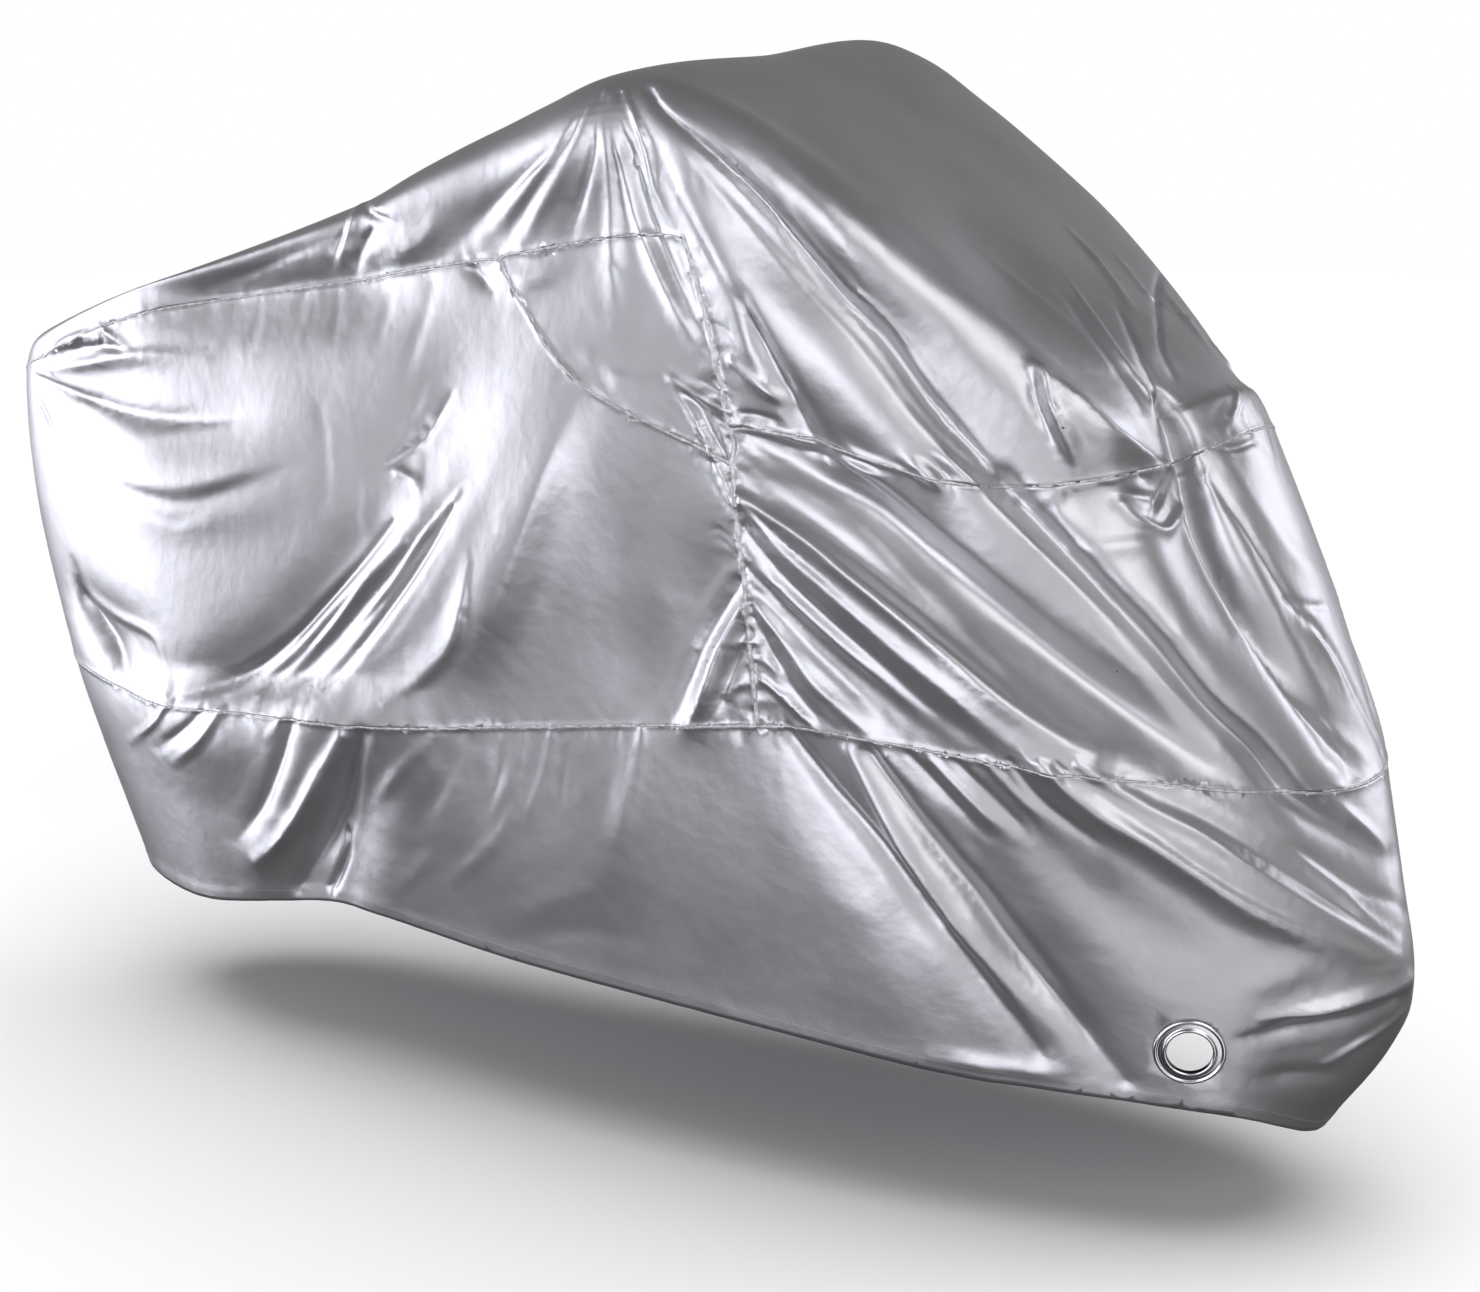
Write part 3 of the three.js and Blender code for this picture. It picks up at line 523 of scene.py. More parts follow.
     [(-300, -310, -265), (-315, -310, -315), (-330, -315, -350), (-350, -315, -395)]),
    ("upright crease 5", 1, (12, 12), (0.8, 0.2), (0.8, 1.2),
     [(-525, -285, -295), (-525, -290, -325), (-535, -290, -355)]),
    ("upright crease 6", -1.5, (14, 14), (0.6, 0.2), (0.8, 1.2),
     [(-485, -305, -425), (-475, -310, -470), (-465, -315, -545)]),
    ("crease across the side", 1.5, (14, 14), (0.2, 0.2), (1, 1),
     [(-395, -315, -505), (-405, -315, -555), (-400, -310, -600)]),
    ("skirt gather 1", 4.5, (12, 14), (0.8, 0.3), (0.8, 1.1),
     [(-675, -270, -855), (-730, -265, -905), (-805, -250, -950)]),
    ("skirt gather 1, shadow", -4, (12, 14), (0.8, 0.3), (0.8, 1.1),
     [(-715, -265, -860), (-765, -260, -895), (-845, -240, -940)]),
    ("skirt gather 2", 4, (10, 10), (0.8, 0.3), (0.8, 1),
     [(-790, -255, -860), (-840, -245, -900), (-935, -200, -950)]),
    ("skirt chevron, left", 2.5, (5, 6), (0.8, 0.6), (1, 1),
     [(-620, -280, -855), (-605, -285, -870), (-590, -285, -880)]),
    ("skirt chevron, right", 2.5, (5, 6), (0.8, 0.6), (1, 1),
     [(-555, -295, -845), (-575, -290, -865), (-590, -285, -880)]),
    ("skirt fold, bright", 7, (18, 21), (0.6, 0.5), (0.7, 1.1),
     [(-450, -305, -845), (-495, -300, -905), (-550, -295, -975), (-605, -280, -1030),
      (-660, -260, -1070)]),
    ("skirt fold, hollow behind", -7, (21, 29), (0.5, 0.2), (0.7, 1.2),
     [(-530, -300, -840), (-570, -290, -910), (-625, -280, -980), (-695, -255, -1045)]),
    ("skirt fold, hollow before", -10, (16, 18), (0.6, 0.4), (0.7, 1.1),
     [(-420, -305, -840), (-460, -290, -900), (-495, -275, -965), (-540, -260, -1030),
      (-595, -245, -1100)]),
    ("skirt fold, thin lip", 2.5, (8, 8), (0.6, 0.5), (0.7, 1),
     [(-390, -310, -835), (-430, -290, -885), (-465, -275, -945), (-500, -265, -995)]),
    ("skirt, deep pocket", -11, (12, 12), (0.6, 0.6), (0.8, 1),
     [(-495, -260, -1000), (-500, -260, -1025), (-520, -250, -1060), (-540, -245, -1090)]),
    ("skirt fold 2", 3, (14, 14), (0.7, 0.2), (0.8, 1.2),
     [(-295, -320, -825), (-350, -310, -875), (-425, -285, -945)]),
    ("skirt fold 2, shadow", -3, (15, 18), (0.7, 0.2), (0.8, 1.4),
     [(-255, -320, -820), (-295, -310, -890), (-350, -300, -965)]),
    ("skirt fold 3", 2, (15, 15), (0.2, 0.2), (0.8, 1.1),
     [(-165, -315, -865), (-215, -305, -950), (-315, -290, -1040)]),
    ("skirt fold 4", 1.5, (12, 12), (0.2, 0.2), (0.8, 1.1),
     [(-320, -300, -980), (-355, -290, -1020), (-410, -275, -1065)]),
    ("middle skirt 1", -2, (15, 18), (0.9, 0.2), (0.7, 1.3),
     [(-195, -320, -805), (-215, -315, -880), (-255, -305, -950)]),
    ("middle skirt 2", 1.5, (12, 14), (0.9, 0.2), (0.7, 1.3),
     [(-165, -320, -805), (-180, -315, -860), (-220, -310, -920)]),
    ("middle skirt 3", 2, (14, 14), (0.9, 0.2), (0.7, 1.3),
     [(-120, -325, -795), (-140, -315, -865), (-185, -310, -945)]),
    ("middle skirt 4", -1.5, (12, 12), (0.9, 0.2), (0.7, 1.3),
     [(-95, -325, -795), (-110, -320, -850), (-130, -315, -930)]),
    ("middle skirt 5", 1, (12, 12), (0.9, 0.2), (0.7, 1.3),
     [(-65, -325, -790), (-75, -320, -845), (-90, -315, -910)]),
    ("middle skirt 6", -1.5, (14, 14), (0.9, 0.2), (0.7, 1.3),
     [(-25, -325, -785), (-35, -325, -850), (-60, -320, -930)]),
    ("middle skirt 7", 2.5, (15, 15), (0.9, 0.2), (0.7, 1.4),
     [(15, -330, -780), (0, -330, -850), (-40, -320, -960)]),
    ("middle skirt, low light", 1.5, (35, 26), (0.2, 0.2), (1, 1),
     [(-210, -290, -1060), (-130, -300, -1020), (-45, -315, -985)]),
    ("middle skirt, low shadow", -1.5, (29, 29), (0.2, 0.2), (1, 1),
     [(-235, -285, -1100), (-105, -295, -1060), (20, -300, -1050)]),
    ("knee hollow 1", -7.5, (24, 24), (0.6, 0.4), (0.6, 1.3),
     [(215, -330, -755), (265, -325, -815), (325, -315, -880), (385, -300, -955), (445, -280, -1035),
      (500, -250, -1110)]),
    ("knee crest", 4.5, (15, 14), (0.6, 0.4), (0.6, 1.2),
     [(295, -340, -765), (340, -330, -850), (385, -315, -920), (430, -295, -985), (475, -270, -1050),
      (510, -245, -1115)]),
    ("knee hollow 2", -11, (26, 22), (0.7, 0.4), (0.6, 1.4),
     [(320, -340, -765), (380, -325, -850), (435, -300, -920), (475, -280, -985), (530, -250, -1060),
      (595, -225, -1140)]),
    ("skirt gather 3", 3, (8, 8), (0.9, 0.2), (0.7, 1.3),
     [(340, -335, -765), (380, -325, -800), (415, -315, -835)]),
    ("skirt gather 4", -4, (9, 10), (0.9, 0.2), (0.7, 1.3),
     [(370, -335, -760), (415, -325, -805), (455, -310, -850)]),
    ("skirt gather 5", 4.5, (10, 10), (0.9, 0.2), (0.7, 1.4),
     [(395, -335, -760), (440, -325, -805), (485, -305, -850)]),
    ("skirt gather 6", -4, (9, 10), (0.9, 0.2), (0.7, 1.4),
     [(425, -330, -760), (465, -320, -800), (505, -300, -845)]),
    ("skirt gather 7", 4, (9, 10), (0.9, 0.2), (0.7, 1.4),
     [(460, -325, -755), (490, -315, -790), (525, -295, -830)]),
    ("skirt gather 8", -4, (9, 10), (0.9, 0.2), (0.7, 1.4),
     [(490, -325, -755), (520, -305, -800), (570, -280, -845)]),
    ("short gather 1", 2, (5, 5), (0.9, 0.3), (0.9, 1),
     [(525, -320, -750), (535, -310, -765), (545, -300, -785)]),
    ("short gather 2", -2, (5, 5), (0.9, 0.3), (0.9, 1),
     [(535, -315, -750), (545, -305, -765), (555, -295, -785)]),
    ("short gather 3", 2, (5, 5), (0.9, 0.3), (0.9, 1),
     [(545, -310, -750), (555, -300, -765), (570, -290, -785)]),
    ("front band, upper lip", 7, (16, 12), (0.6, 0.4), (0.8, 1.1),
     [(560, -300, -755), (625, -255, -805), (675, -225, -835), (725, -195, -875), (765, -150, -915),
      (810, -105, -955), (855, -45, -1000)]),
    ("front band, groove", -4.5, (12, 12), (0.6, 0.2), (0.8, 1.3),
     [(540, -310, -755), (590, -275, -800), (640, -255, -835), (685, -220, -875), (735, -185, -910),
      (775, -145, -950)]),
    ("front band, lower lip", 7.5, (13, 35), (0.6, 0.3), (0.8, 1.1),
     [(520, -320, -755), (570, -285, -805), (630, -255, -845), (675, -225, -880), (725, -195, -920),
      (785, -135, -960), (845, -60, -1000)]),
    ("front band, dark upper side", -5, (26, 16), (0.3, 0.3), (0.8, 1.2),
     [(605, -265, -775), (670, -220, -815), (730, -185, -855), (790, -115, -920), (840, -55, -975)]),
    ("second band, crest", 5, (12, 15), (0.2, 0.4), (0.6, 1.1),
     [(750, -150, -860), (795, -100, -915), (825, -80, -945), (850, -40, -980)]),
    ("second band, dark line", -5, (14, 9), (0.2, 0.5), (0.7, 1.1),
     [(735, -165, -840), (775, -115, -880), (815, -70, -920), (845, 0, -960)]),
    ("light patch over the eyelet", 3.5, (26, 32), (0.2, 0.2), (1, 1),
     [(710, -195, -1020), (745, -170, -1005), (790, -135, -985)]),
    ("wedge, crest", 9.5, (21, 18), (0.3, 0.6), (0.5, 1.1),
     [(735, -170, -1055), (785, -125, -1045), (830, -85, -1035), (855, -15, -1035)]),
    ("wedge, groove", -7.5, (10, 18), (0.2, 0.6), (0.7, 1.1),
     [(700, -200, -1080), (750, -150, -1070), (800, -100, -1065), (850, -40, -1050)]),
    ("second wedge", 5, (10, 14), (0.3, 0.5), (0.7, 1),
     [(790, -100, -1120), (815, -65, -1100), (845, -20, -1075)]),
    ("shadow at the nose's foot", -5, (22, 26), (0.2, 0.2), (1, 1),
     [(725, -165, -1130), (765, -125, -1130), (805, -60, -1145)]),
    ("hem's bright strip", 4, (22, 13), (0.3, 0.4), (1, 1),
     [(375, -275, -1135), (445, -260, -1140), (525, -240, -1140)]),
    ("sliver", 5, (6, 6), (0.2, 0.4), (0.8, 1.1),
     [(425, -65, -245), (470, -100, -280), (520, -125, -325), (555, -120, -370), (590, -105, -430)]),
    ("hood band 1", 5, (14, 14), (0.2, 0.2), (1, 1.1),
     [(350, 100, -200), (410, 60, -240), (490, -20, -290)]),
    ("hood band 2", 3, (10, 12), (0.2, 0.2), (1, 1),
     [(390, 155, -230), (430, 120, -260), (475, 75, -285)]),
    ("hood band 3", 4.5, (16, 16), (0.2, 0.2), (1, 1.1),
     [(360, -165, -210), (440, -150, -275), (520, -145, -330)]),
    ("hood groove 1", -4.5, (12, 12), (0.2, 0.3), (1, 1),
     [(435, -105, -260), (500, -135, -315), (555, -145, -385)]),
    ("hood groove 2", -4.5, (10, 10), (0.2, 0.3), (1, 1),
     [(470, -30, -275), (530, -95, -325), (570, -110, -385)]),
    ("crumple, upper edge", 17, (16, 35), (0.6, 0.4), (0.6, 1),
     [(485, -265, -325), (525, -250, -360), (560, -220, -405), (575, -160, -440), (585, -125, -450)]),
    ("crumple, inner edge", 10.5, (15, 14), (0.7, 0.3), (0.6, 1.1),
     [(485, -265, -330), (500, -270, -365), (515, -265, -395), (530, -255, -440)]),
    ("crumple, shadow", -7.5, (10, 14), (0.4, 0.3), (0.8, 1.1),
     [(480, -270, -335), (490, -275, -365), (505, -270, -400)]),
    ("crumple, small crease", -2.5, (6, 8), (0.3, 0.3), (1, 1),
     [(535, -250, -405), (555, -235, -410), (570, -215, -420)]),
    ("tuck under the seam", -3.5, (6, 8), (0.5, 0.2), (1, 1),
     [(520, -260, -455), (525, -260, -470), (525, -260, -485)]),
    ("seam's lip by the crumple", 3, (8, 8), (0.4, 0.6), (1, 1),
     [(495, -275, -475), (520, -260, -460), (560, -235, -450), (580, -160, -450)]),
    ("shadow below that lip", -5, (9, 12), (0.2, 0.6), (0.8, 1.1),
     [(560, -235, -460), (580, -215, -465), (590, -170, -475)]),
    ("pouch, rim", 7, (12, 15), (0.6, 0.5), (0.8, 1),
     [(580, -135, -445), (595, -125, -460), (605, -130, -485), (600, -175, -510), (590, -215, -495),
      (570, -230, -475)]),
    ("pouch, hollow", -6, (10, 12), (0.5, 0.4), (1, 1),
     [(585, -145, -455), (590, -165, -475), (595, -195, -490)]),
    ("front panel's top edge", 3.5, (13, 22), (0.4, 0.3), (1, 1),
     [(530, -265, -525), (565, -245, -520), (600, -210, -515), (605, -145, -510)]),
    ("front panel's left edge", 4, (54, 11), (0.3, 0.3), (0.7, 1),
     [(510, -270, -485), (535, -265, -525), (570, -250, -570), (620, -225, -630), (670, -200, -690),
      (715, -165, -745), (750, -125, -795)]),
    ("front panel's right edge", 6, (21, 70), (0.4, 0.4), (0.6, 1.1),
     [(600, -115, -460), (625, -130, -530), (655, -125, -595), (695, -110, -650), (735, -85, -705),
      (765, -35, -755), (795, 25, -805)]),
    ("front panel's wrinkle", 2, (5, 8), (0.3, 0.2), (1, 1),
     [(605, -235, -600), (640, -220, -615), (670, -140, -615)]),
    ("front valley", -20.5, (29, 24), (0.9, 0.5), (0.6, 1.5),
     [(565, -110, -375), (590, -110, -430), (630, -125, -520), (665, -115, -595), (725, -90, -695),
      (775, -40, -780)]),
    ("front valley's soft rib", 3, (14, 14), (0.2, 0.3), (0.7, 1.4),
     [(655, -95, -520), (690, -85, -590), (745, -45, -705)]),
    ("front valley's thin line", 1, (5, 5), (0.4, 0.3), (1, 1),
     [(605, -105, -445), (630, -105, -485), (670, -90, -535)]),
    ("crease right of the front valley", -4.5, (12, 12), (0.4, 0.4), (0.8, 1.2),
     [(625, -100, -460), (655, -90, -505), (705, -60, -595), (745, -15, -660), (790, 50, -785)]),
    ("nose panel, light", 2.5, (32, 26), (0.3, 0.2), (0.8, 1.1),
     [(625, -85, -430), (670, -60, -500), (705, -20, -560), (710, 105, -625)]),
    ("nose crease", -4, (8, 10), (0.6, 0.5), (0.8, 1),
     [(705, -65, -595), (725, -15, -610), (710, 115, -635)]),
    ("nose light below the crease", 4.5, (12, 12), (0.3, 0.2), (0.8, 1),
     [(720, -50, -615), (745, -20, -660), (765, 5, -710)]),
    ("nose crumple 1", 4, (6, 8), (0.4, 0.4), (1, 1),
     [(600, 10, -370), (620, -20, -385), (625, -70, -415)]),
    ("nose crumple 2", 3.5, (6, 6), (0.4, 0.4), (1, 1),
     [(615, 45, -380), (630, -20, -395), (640, -20, -415)]),
    ("nose crumple 3", -4, (6, 8), (0.4, 0.4), (1, 1),
     [(620, -85, -425), (635, -60, -430), (645, -10, -425)]),
    ("nose crumple 4", -3.5, (6, 6), (0.4, 0.4), (1, 1),
     [(615, -45, -380), (615, -70, -395), (615, -85, -415)]),
    ("hood's tuck", -5.5, (8, 8), (0.7, 0.3), (0.8, 1),
     [(415, 240, -265), (470, 100, -285), (535, -45, -320), (565, -75, -355)]),
    ("hood's flat beside the tuck", 4, (26, 19), (0.3, 0.2), (0.8, 1),
     [(450, 175, -280), (505, 115, -310), (550, 75, -340)]),
    ("seam crumple at the nose", 2.5, (6, 8), (0.4, 0.4), (1, 1),
     [(770, -95, -790), (785, -55, -805), (795, 25, -800)]),
    ("light triangle at the nose", 5, (16, 26), (0.3, 0.3), (1, 1),
     [(775, -90, -815), (805, -45, -855), (830, 0, -900)]),
]

# %% [markdown]
# ## The far side and the small crinkles
#
# The far side has folds of the same kind, because it is cut and pulled alike, but no two sides fall the same.
# So it takes most of the near side's lines, mirrored, moved a little and with other heights.
#
# Between the main creases real cloth is full of weak ones. Two rules make them. Most strong folds have a
# fainter companion beside them. And some places, such as a pulled corner, are crumpled all over. The draws
# are seeded, so the cloth is the same each time.

# %% Far side
chance = random.Random(11)
one_sided = ("pouch", "crumple", "tuck", "seam's lip", "shadow below that lip")


def nudged(path, most):
    """The path moved as a whole, by at most so many millimetres each way."""
    move = [chance.uniform(-most, most) for axis in range(3)]
    return [tuple(value + part for value, part in zip(point, move)) for point in path]


def mirrored(rows, keep, most):
    """Most of the rows on the other side. A mirrored path has its left and right swapped."""
    kept = []
    for name, height, reach, fullness, width, path in rows:
        off_middle = all(point[1] < -60 for point in path)
        stays = off_middle and not name.startswith(one_sided) and chance.random() < keep
        if stays:
            height *= chance.uniform(0.6, 1.15)
            kept.append((name, height, reach[::-1], fullness, width,
                         nudged([(x, -y, z) for x, y, z in path], most)))
    return kept


far_swells = mirrored(swells, 0.9, 12)
far_creases = mirrored(creases, 0.7, 12)
print("far side:", len(far_swells), "swells and", len(far_creases), "creases")

# %% Crinkles
def part_of(path, start, end):
    """The stretch of a path between two shares of its corners, at least two of them."""
    first = int(start * (len(path) - 1))
    last = max(first + 1, math.ceil(end * (len(path) - 1)))
    return path[first:last + 1]


def companion(row):
    """A fainter line beside a strong one, mostly of the other sign."""
    name, height, reach, fullness, width, path = row
    stretch = part_of(path, chance.uniform(0, 0.4), chance.uniform(0.6, 1))
    sign = -1 if chance.random() < 0.65 else 1
    beside = chance.choice((-1, 1)) * chance.uniform(0.9, 1.5) * max(reach)
    run = Vector(stretch[-1]) - Vector(stretch[0])
    across = run.cross(Vector((0.2, 1, 0.3))).normalized() * beside
    moved = [tuple(Vector(point) + across) for point in stretch]
    narrow = tuple(0.65 * r for r in reach)
    return (name + ", companion", sign * height * chance.uniform(0.18, 0.34), narrow, (0.2, 0.2), width, moved)


def crumpled(name, centre, spread, count, run, length, height):
    """Short weak creases round a centre. They run roughly one way, each a little bent."""
    rows = []
    for number in range(count):
        middle = Vector(centre) + Vector([chance.gauss(0, part) for part in spread])
        way = Vector(run).normalized() + Vector([chance.gauss(0, 0.28) for axis in range(3)])
        half = way.normalized() * length * chance.uniform(0.3, 0.75)
        bend = Vector([chance.gauss(0, 0.12) for axis in range(3)]) * length
        path = [tuple(middle - half), tuple(middle + bend), tuple(middle + half)]
        rise = height * chance.uniform(0.3, 0.75) * chance.choice((-1, 1))
        reach = chance.uniform(5, 9)
        rows.append((name, rise, (reach, reach * chance.uniform(0.7, 1.4)), (0.15, 0.15), (1, 1), path))
    return rows


# name, centre, spread, count, the way they run, length and height, in millimetres
crumpled_places = [
    ("tail corner", (-960, -230, -370), (60, 30, 40), 14, (1, 0, 0.15), 60, 1.8),
    ("notch on the side", (-340, -320, -450), (50, 5, 60), 14, (0.5, 0, -1), 50, 1.8),
    ("gusset", (20, -355, -310), (50, 5, 50), 14, (0.6, 0, -1), 50, 1.4),
    ("gathered seam", (135, -355, -480), (32, 5, 150), 34, (1, 0, -0.45), 34, 1.7),
    ("below the tip", (60, -360, -190), (60, 5, 40), 16, (0.1, 0, -1), 60, 1.2),
    ("crumple at the hood", (500, -200, -440), (36, 20, 26), 14, (0.6, 0.4, -0.7), 36, 1.8),
    ("crumple at the nose", (650, -50, -420), (26, 30, 34), 16, (0.5, 0.6, -0.7), 34, 1.8),
    ("nose", (740, -40, -640), (30, 40, 70), 7, (0.4, 0.1, -1), 50, 1.4),
    ("rear of the skirt", (-520, -300, -860), (170, 5, 30), 30, (-0.25, 0, -1), 46, 1.4),
    ("middle of the skirt", (-20, -325, -850), (200, 5, 30), 22, (-0.1, 0, -1), 50, 1.2),
    ("front of the skirt", (480, -290, -850), (140, 20, 30), 26, (0.7, 0.1, -0.8), 46, 1.4),
    ("beside the eyelet", (830, -60, -1060), (26, 40, 50), 14, (1, 0.4, 0.2), 46, 1.6),
    ("front cloth", (420, -310, -560), (80, 20, 80), 8, (0.8, 0.1, -0.8), 60, 1.2),
    ("hood", (420, -200, -230), (90, 50, 50), 14, (0.8, 0.1, -0.7), 80, 0.9),
    ("top band", (-420, -275, -250), (240, 10, 26), 30, (0.6, 0, -0.8), 46, 1.3),
    ("side", (-250, -330, -620), (220, 5, 90), 26, (0.5, 0, -0.9), 80, 1.1),
    ("rest of the top", (-500, -60, -200), (260, 80, 10), 18, (0.9, 0.3, 0.1), 80, 3),
]
crinkles = [companion(row) for row in creases + far_creases if abs(row[1]) >= 5 and chance.random() < 0.7]
for name, centre, spread, count, run, length, height in crumpled_places:
    crinkles += crumpled(name, centre, spread, count, run, length, height)
    across = (centre[0], -centre[1], centre[2])
    crinkles += crumpled(name + ", far side", across, spread, count, (run[0], -run[1], run[2]), length, height)
print("crinkles:", len(crinkles))

# %% [markdown]
# ## A finer sheet
#
# The frame's squares are about 50 mm wide. Catmull-Clark subdivision rounds them into one smooth skin of
# 12 mm squares. That is fine enough for a calm stretch of cloth and far too coarse for a crease. So edges are
# cut where the detail is: halved near every line, halved again right beside it, and most of all at the seams.
# The calm hood then costs little, and the whole stays light.

# %% Subdivision
smooth_levels = 2


def subdivided(obj, levels):
    """The object's mesh with Catmull-Clark subdivision."""
    modifier = obj.modifiers.new("smooth", "SUBSURF")
    modifier.levels = modifier.render_levels = levels
    modifier.boundary_smooth = "PRESERVE_CORNERS"
    evaluated = obj.evaluated_get(bpy.context.evaluated_depsgraph_get())
    mesh = bpy.data.meshes.new_from_object(evaluated)
    obj.modifiers.remove(modifier)
    return mesh


def tree_of(points):
    tree = KDTree(len(points))
    for number, point in enumerate(points):
        tree.insert(point, number)
    tree.balance()
    return tree


def line_points(rows, spacing):
    """Places along the paths of a table, in metres."""
    for row in rows:
        corners = [Vector(point) * MM for point in row[-1]]
        for a, b in zip(corners, corners[1:]):
            count = max(1, int((b - a).length / spacing))
            for step in range(count + 1):
                yield a.lerp(b, step / count)


def is_seam(edge):
    return len({face.material_index for face in edge.link_faces}) > 1


def edge_middle(edge):
    return (edge.verts[0].co + edge.verts[1].co) / 2


def cut_long_edges(sheet, limit, near, reach):
    """Halve every edge that is longer than the limit and lies near the points of a tree."""
    long_edges = [edge for edge in sheet.edges
                  if edge.calc_length() > limit and near.find(edge_middle(edge))[2] < reach]
    bmesh.ops.subdivide_edges(sheet, edges=long_edges, cuts=1, use_grid_fill=True, smooth=0)
    print("   cut", len(long_edges), "edges, now", len(sheet.faces), "faces")


def is_gathered(point):
    """Whether a place on a seam belongs to the gathered seam below the tip."""
    return 0.07 < point.x < 0.21 and -0.76 < point.z < -0.225


fine_mesh = subdivided(whole, smooth_levels)
bpy.data.objects.remove(whole)
sheet = bmesh.new()
sheet.from_mesh(fine_mesh)
print("after subdivision:", len(sheet.faces), "faces")
all_lines = creases + far_creases + crinkles
near_lines = tree_of(list(line_points(all_lines, 8 * MM)))
strong_lines = tree_of(list(line_points([row for row in all_lines if abs(row[1]) >= 4], 5 * MM)))
seam_middles = [edge_middle(edge) for edge in sheet.edges if is_seam(edge)]
hem_middles = [edge_middle(edge) for edge in sheet.edges if edge.is_boundary]
cut_long_edges(sheet, 8 * MM, near_lines, 24 * MM)
cut_long_edges(sheet, 8 * MM, tree_of(seam_middles + hem_middles), 26 * MM)
cut_long_edges(sheet, 4.6 * MM, strong_lines, 11 * MM)
seam_middles = [edge_middle(edge) for edge in sheet.edges if is_seam(edge)]
cut_long_edges(sheet, 4.2 * MM, tree_of(seam_middles), 11 * MM)
gathered = tree_of([point for point in seam_middles if is_gathered(point)])
cut_long_edges(sheet, 4.2 * MM, gathered, 34 * MM)
cut_long_edges(sheet, 2.6 * MM, gathered, 12 * MM)


# %% [markdown]
# ## Working the creases into the sheet
#
# A path's points are first moved onto the cloth, so that they hold when the frame changes a little. The path
# is then a smooth curve. Each point of the sheet finds the nearest place on it, which side it lies on, and
# how far away, and is moved along its own normal.

# %% Crease tools
path_step = 6 * MM
end_length = 0.35
calm_width = 26 * MM


def smooth_path(points):
    """A Catmull-Rom curve through the points, with a place every few millimetres."""
    ends = [2 * points[0] - points[1], *points, 2 * points[-1] - points[-2]]
    curve = []
    for a, b, c, d in zip(ends, ends[1:], ends[2:], ends[3:]):
        count = max(2, int((c - b).length / path_step))
        for t in np.linspace(0, 1, count, endpoint=False):
            curve.append(0.5 * (2 * b + (c - a) * t + (2 * a - 5 * b + 4 * c - d) * t ** 2
                                + (3 * b - a - 3 * c + d) * t ** 3))
    return np.array(curve + [points[-1]])


def ramp(value):
    value = np.clip(value, 0, 1)
    return value * value * (3 - 2 * value)


class Sheet:
    """The sheet's points and normals as arrays, and the search tree that puts paths on it."""

    def __init__(self, bm):
        bm.normal_update()
        bm.verts.index_update()
        self.points = np.array([vert.co for vert in bm.verts])
        self.normals = np.array([vert.normal for vert in bm.verts])
        self.edge_ends = np.array([[vert.index for vert in edge.verts] for edge in bm.edges])
        self.normals = self.averaged(self.normals, 4)
        self.normals /= np.linalg.norm(self.normals, axis=1)[:, None]
        self.tree = BVHTree.FromBMesh(bm)
        self.lift = np.zeros(len(self.points))

    def averaged(self, values, rounds):
        """Each point's value, evened out with its neighbours' a few times over."""
        one, other = self.edge_ends.T
        count = 1 + np.bincount(one, minlength=len(values)) + np.bincount(other, minlength=len(values))
        for again in range(rounds):
            total = values.copy()
            np.add.at(total, one, values[other])
            np.add.at(total, other, values[one])
            values = total / (count[:, None] if values.ndim > 1 else count)
        return values

    def crease(self, height, reach, fullness, width, path, profile):
        """Add one crease to the lift. Sizes are in metres."""
        curve = smooth_path([self.tree.find_nearest(Vector(point))[0] for point in path])
        widest = max(reach) * max(width)
        inside = np.all((self.points > curve.min(0) - widest) & (self.points < curve.max(0) + widest), axis=1)
        near = np.flatnonzero(inside)
        if not len(near):
            return
        offsets = self.points[near][:, None] - curve[None]
        place = np.argmin(np.einsum("ijk,ijk->ij", offsets, offsets), axis=1)
        along = place / (len(curve) - 1)
        forward = np.gradient(curve, axis=0)
        forward /= np.linalg.norm(forward, axis=1)[:, None]
        ahead = forward[place]
        offset = offsets[np.arange(len(near)), place]
        between = (place > 0) & (place < len(curve) - 1)
        offset = offset - ahead * (np.einsum("ij,ij->i", offset, ahead) * between)[:, None]
        left = np.einsum("ij,ij->i", np.cross(self.normals[near], ahead), offset) > 0
        limit = np.where(left, reach[0], reach[1]) * (width[0] + (width[1] - width[0]) * along)
        share = 1 - np.linalg.norm(offset, axis=1) / limit
        full = np.minimum(fullness[0] + (1 - fullness[0]) * ramp(along / end_length),
                          fullness[1] + (1 - fullness[1]) * ramp((1 - along) / end_length))
        self.lift[near] += height * full * profile(np.clip(share, 0, 1))

    def calm_at_eyelets(self):
        """No lift under an eyelet, and less and less of it towards one."""
        for side, centre, axis in eyelets:
            distance = np.linalg.norm(self.points - np.array(centre), axis=1)
            self.lift *= ramp((distance - flat_radius) / calm_width)

    def push(self, bm):
        """Move the points by what has been added up, evened out once against lone spikes."""
        self.lift = self.averaged(self.lift, 1)
        moved = self.points + self.normals * self.lift[:, None]
        for vert, place in zip(bm.verts, moved):
            vert.co = place


def crisp(share):
    """A line with some edge at its top and feet that run out softly."""
    return 0.5 * share * share + 0.5 * ramp(share)


def rounded(share):
    """The body of a fold: soft at its feet, a little edge at its top."""
    return 0.35 * share + 0.65 * ramp(share)


def from_table(table, sheet, profile):
    for name, height, reach, fullness, width, path in table:
        sheet.crease(height * MM, [r * MM for r in reach], fullness, width,
                     [[value * MM for value in point] for point in path], profile)


